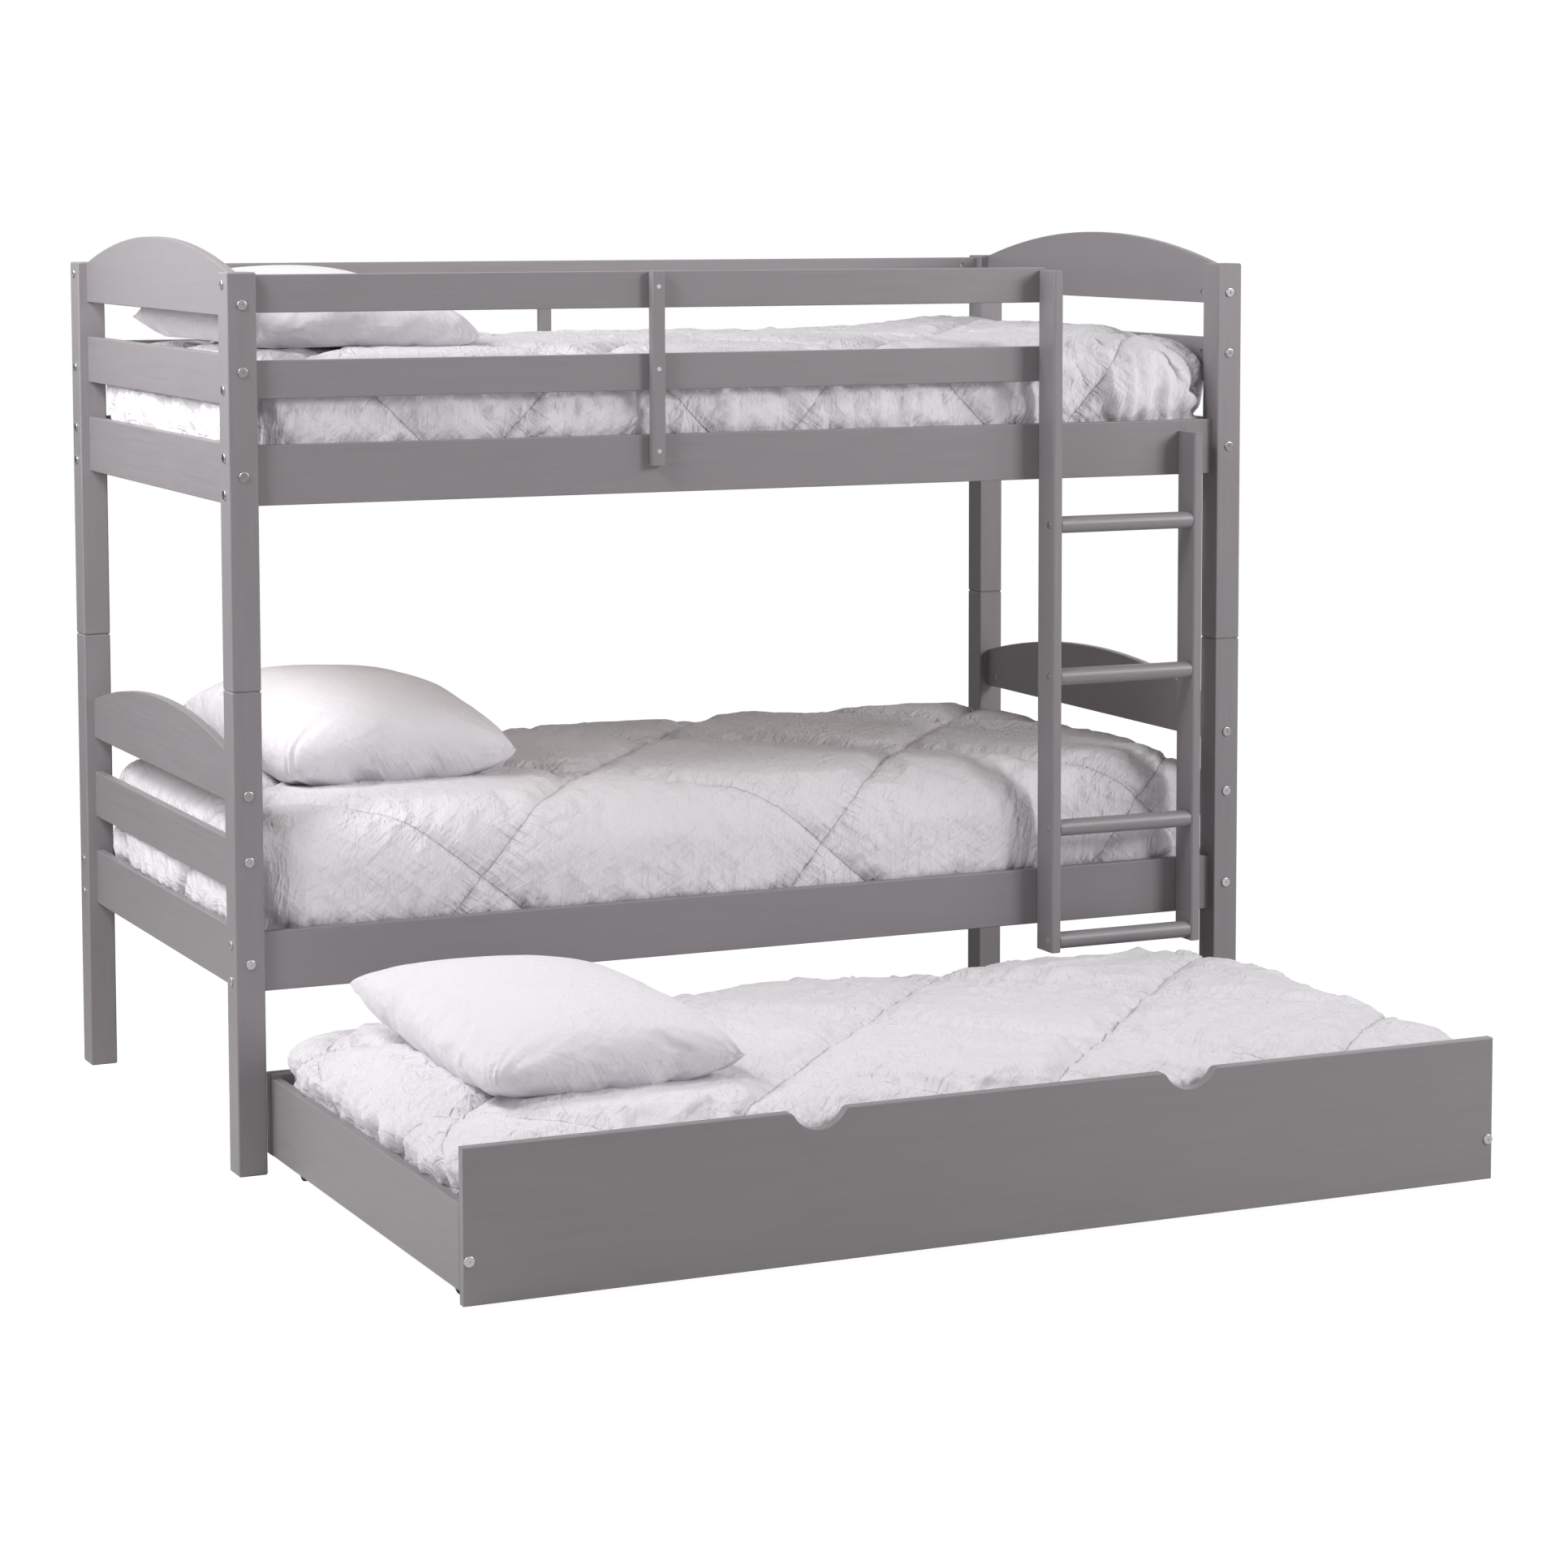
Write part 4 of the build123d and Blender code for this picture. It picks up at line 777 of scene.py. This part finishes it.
def pillow(name, node, turn, seam_share, draw_in, crown_shift, blunt, corner_lifts, seed, material):
    """A filled pillow: blown up with a little extra cloth, wrinkled at its seam and laid on its mattress."""
    low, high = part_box(node)
    case = pillow_form(name, high.z - low.z, seam_share, draw_in, crown_shift, blunt)
    points = vertex_array(case)
    ruffle = smooth_noise(points, 14.0, seed) * 2 * MM
    set_vertices(case, points + vertex_array(case, "normal") * ruffle[:, None])
    run_cloth(case, frames=14, pressure=3.0, growth=0.03, bending=0.4)
    keep_close(case, points, PILLOW_REACH)
    subdivide(case)

    points, normals = vertex_array(case), vertex_array(case, "normal")
    away = stored(case, "seam_0")
    s, t = points[:, 0] / (PILLOW_X / 2), points[:, 1] / (PILLOW_Y / 2)
    along = points[:, 0] + points[:, 1]
    gathers = smooth_noise(np.c_[points[:, :2] * 24, away * 5], 1.0, seed + 1)
    lift = SEAM_WRINKLE * gathers * np.exp(-away / SEAM_WRINKLE_REACH) * (1 - np.exp(-away / (8 * MM)))
    corner_x, corner_y = np.sign(s) * PILLOW_X / 2, np.sign(t) * PILLOW_Y / 2
    reach = np.hypot(points[:, 0] - corner_x, points[:, 1] - corner_y)
    angle = np.arctan2(np.abs(points[:, 1] - corner_y), np.abs(points[:, 0] - corner_x) + 1e-6)
    rays = smooth_noise(np.c_[angle * 5, reach * 4, np.sign(s) + 2 * np.sign(t)], 1.0, seed + 2)
    past_tip = 1 - np.exp(-reach / (40 * MM))
    lift += CORNER_WRINKLE * rays * np.clip(1 - reach / CORNER_REACH, 0, 1) ** 1.5 * past_tip
    lift += DENTS * smooth_noise(points, 6.0, seed + 6)
    points = points + normals * lift[:, None]
    bottom = -(high.z - low.z) * seam_share
    points[:, 2] = np.maximum(points[:, 2], bottom)
    store(case, "flat_u", points[:, 0] + 0.7 * points[:, 2])
    store(case, "flat_v", points[:, 1] + 0.7 * points[:, 2])
    store(case, "around", along)
    store(case, "above_tuck", away)
    for (side_x, side_y), amount in corner_lifts.items():
        points[:, 2] += amount * near_corner(s, t, side_x, side_y)
    spin = math.radians(turn)
    turned = np.array([[math.cos(spin), -math.sin(spin)], [math.sin(spin), math.cos(spin)]])
    points[:, :2] = points[:, :2] @ turned.T
    middle = (np.array(low) + np.array(high)) / 2
    points[:, :2] += middle[:2] - (points[:, :2].max(axis=0) + points[:, :2].min(axis=0)) / 2
    points[:, 2] += low.z - points[:, 2].min()
    points[:, 2] = low.z + (points[:, 2] - low.z) * (high.z - low.z) / (points[:, 2].max() - low.z)
    set_vertices(case, points)
    smooth_shading(case)
    assign(case, material)
    return case


# The bedding of both bunks and of the trundle

BOARD_GAP = 0.6 * MM


def board_boxes(*names):
    """The boxes of frame boards that the bedding presses against, a little proud of them."""
    grow = Vector((BOARD_GAP, BOARD_GAP, BOARD_GAP))
    boxes = []
    for name in names:
        low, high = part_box(name)
        boxes.append((tuple(low - grow), tuple(high + grow)))
    return boxes


def end_board_boxes(*names):
    """The same for a node that holds the boards of both ends."""
    grow = BOARD_GAP
    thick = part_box("upper_arch_panel_right")[1].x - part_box("upper_arch_panel_right")[0].x
    boxes = []
    for name in names:
        low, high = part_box(name)
        for x0, x1 in ((low.x, low.x + thick), (high.x - thick, high.x)):
            boxes.append(((x0 - grow, low.y - grow, low.z - grow),
                          (x1 + grow, high.y + grow, high.z + grow)))
    return boxes


def make_bedding():
    """Puts comforters and pillow cases in the place of the CAD's mattresses and pillows."""
    # The quilted cover's stitched grooves get painted shade down to 0.80 of their colour; the pillow cases,
    # at 1.0, get none
    cover_material = cotton("quilted_cotton", (0, 1), 0.80, 3.8 * MM, 4.5 * MM, 4.6 * MM)
    case_material = cotton("pillow_cotton", (), 1.0, 0.0, 1.6 * MM, 2.2 * MM)
    bunk_walls = {}
    for level in ("lower", "upper"):
        boards = [f"{level}_side_rail_front", f"{level}_side_rail_back",
                  f"{level}_arch_panel_left", f"{level}_arch_panel_right"]
        boards += [f"{level}_post_{corner}" for corner in
                   ("front_left", "front_right", "back_left", "back_right")]
        if level == "upper":
            boards += ["guard_rail_mid_front", "guard_rail_mid_back", "ladder_stile_left"]
        ends = end_board_boxes(f"{level}_end_rails", f"{level}_end_slats")
        bunk_walls[level] = board_boxes(*boards) + ends
    trundle_walls = board_boxes("trundle_front_panel", "trundle_back_rail", "trundle_end_panel_left",
                                "trundle_end_panel_right")
    bunk_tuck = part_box("lower_side_rail_front")[1].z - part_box("lower_mattress")[0].z
    trundle_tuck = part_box("trundle_end_panel_left")[1].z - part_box("trundle_mattress")[0].z
    for level, facts in COVERS.items():
        walls = trundle_walls if level == "trundle" else bunk_walls[level]
        tuck = trundle_tuck if level == "trundle" else bunk_tuck
        tuck_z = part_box(f"{level}_mattress")[0].z + tuck
        cover = quilted_cover(f"{level}_comforter", f"{level}_mattress", material=cover_material,
                              walls=walls, tuck_z=tuck_z, **facts)
        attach(cover, "trundle" if level == "trundle" else "bed_frame")
        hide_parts(f"{level}_mattress")

    for level, facts in PILLOWS.items():
        case = pillow(f"{level}_pillow_case", f"{level}_pillow", material=case_material, **facts)
        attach(case, "trundle" if level == "trundle" else "bed_frame")
        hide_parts(f"{level}_pillow")
        if level == "trundle":
            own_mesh(case)


# Floor, world and lamps

FLOOR_REACH = 60.0
FLOOR_WHITE = (0.86, 0.86, 0.86, 1)
# The floor glows for the camera alone, so that it comes out as white as the backdrop
FLOOR_GLOW = 1.25
GLOW_SHARE = 0.78
# How bright the white world is for rays that don't come from the camera or a mirror
AMBIENT = 0.12


def make_stage():
    """A white floor and a white world that lights the bed only faintly."""
    material = bpy.data.materials.new("floor")
    material.use_nodes = True
    nodes, links = material.node_tree.nodes, material.node_tree.links
    nodes.clear()
    output = nodes.new("ShaderNodeOutputMaterial")
    diffuse = nodes.new("ShaderNodeBsdfDiffuse")
    diffuse.inputs["Color"].default_value = FLOOR_WHITE
    glow = nodes.new("ShaderNodeEmission")
    glow.inputs["Strength"].default_value = FLOOR_GLOW
    path = nodes.new("ShaderNodeLightPath")
    seen = math_node(nodes, links, "MULTIPLY", path.outputs["Is Camera Ray"], GLOW_SHARE)
    mix = nodes.new("ShaderNodeMixShader")
    links.new(seen, mix.inputs["Fac"])
    links.new(diffuse.outputs["BSDF"], mix.inputs[1])
    links.new(glow.outputs["Emission"], mix.inputs[2])
    links.new(mix.outputs["Shader"], output.inputs["Surface"])
    signs = ((-1, -1), (1, -1), (1, 1), (-1, 1))
    floor = new_object("floor", [(x * FLOOR_REACH, y * FLOOR_REACH, 0) for x, y in signs], [(0, 1, 2, 3)])
    assign(floor, material)

    world = bpy.data.worlds.new("studio")
    bpy.context.scene.world = world
    world.use_nodes = True
    nodes, links = world.node_tree.nodes, world.node_tree.links
    background = nodes["Background"]
    path = nodes.new("ShaderNodeLightPath")
    shown = math_node(nodes, links, "MAXIMUM", path.outputs["Is Camera Ray"], path.outputs["Is Glossy Ray"])
    shown = math_node(nodes, links, "MAXIMUM", shown, path.outputs["Is Transmission Ray"])
    strength = math_node(nodes, links, "MULTIPLY", shown, 1 - AMBIENT)
    strength = math_node(nodes, links, "ADD", strength, AMBIENT)
    background.inputs["Color"].default_value = (1, 1, 1, 1)
    links.new(strength, background.inputs["Strength"])


def area_lamp(name, place, target, size, power):
    """A rectangular lamp at place that faces the target, with its power in watts."""
    data = bpy.data.lights.new(name, "AREA")
    data.shape = "RECTANGLE"
    data.size, data.size_y = size
    data.energy = power
    lamp = bpy.data.objects.new(name, data)
    bpy.context.scene.collection.objects.link(lamp)
    lamp.location = place
    lamp.rotation_euler = (Vector(target) - Vector(place)).to_track_quat("-Z", "Y").to_euler()


def make_lamps():
    area_lamp("key_high_left", (-3.0, BED_Y - 1.6, 3.6), (-0.6, BED_Y - 0.4, 0.9), (1.0, 1.0), 55)
    area_lamp("key_near_left", (-2.4, BED_Y - 0.2, 2.4), (-0.9, BED_Y, 1.5), (0.8, 1.6), 45)
    area_lamp("low_left", (-5.0, BED_Y - 3.2, 2.0), (0.0, BED_Y, 0.9), (1.6, 2.0), 30)
    area_lamp("fill_right", (3.6, BED_Y - 4.6, 3.2), (0.4, BED_Y, 0.9), (1.6, 2.0), 150)
    area_lamp("near_right", (3.4, BED_Y - 2.0, 2.6), (0.9, BED_Y, 1.2), (1.2, 1.6), 26)
    area_lamp("above", (0.0, BED_Y - 0.2, 3.8), (0.0, BED_Y - 0.2, 1.0), (2.4, 0.8), 10)


make_camera()
dress_cad_nodes()
make_bedding()
make_stage()
make_lamps()

scene = bpy.context.scene
scene.view_settings.view_transform = "Standard"
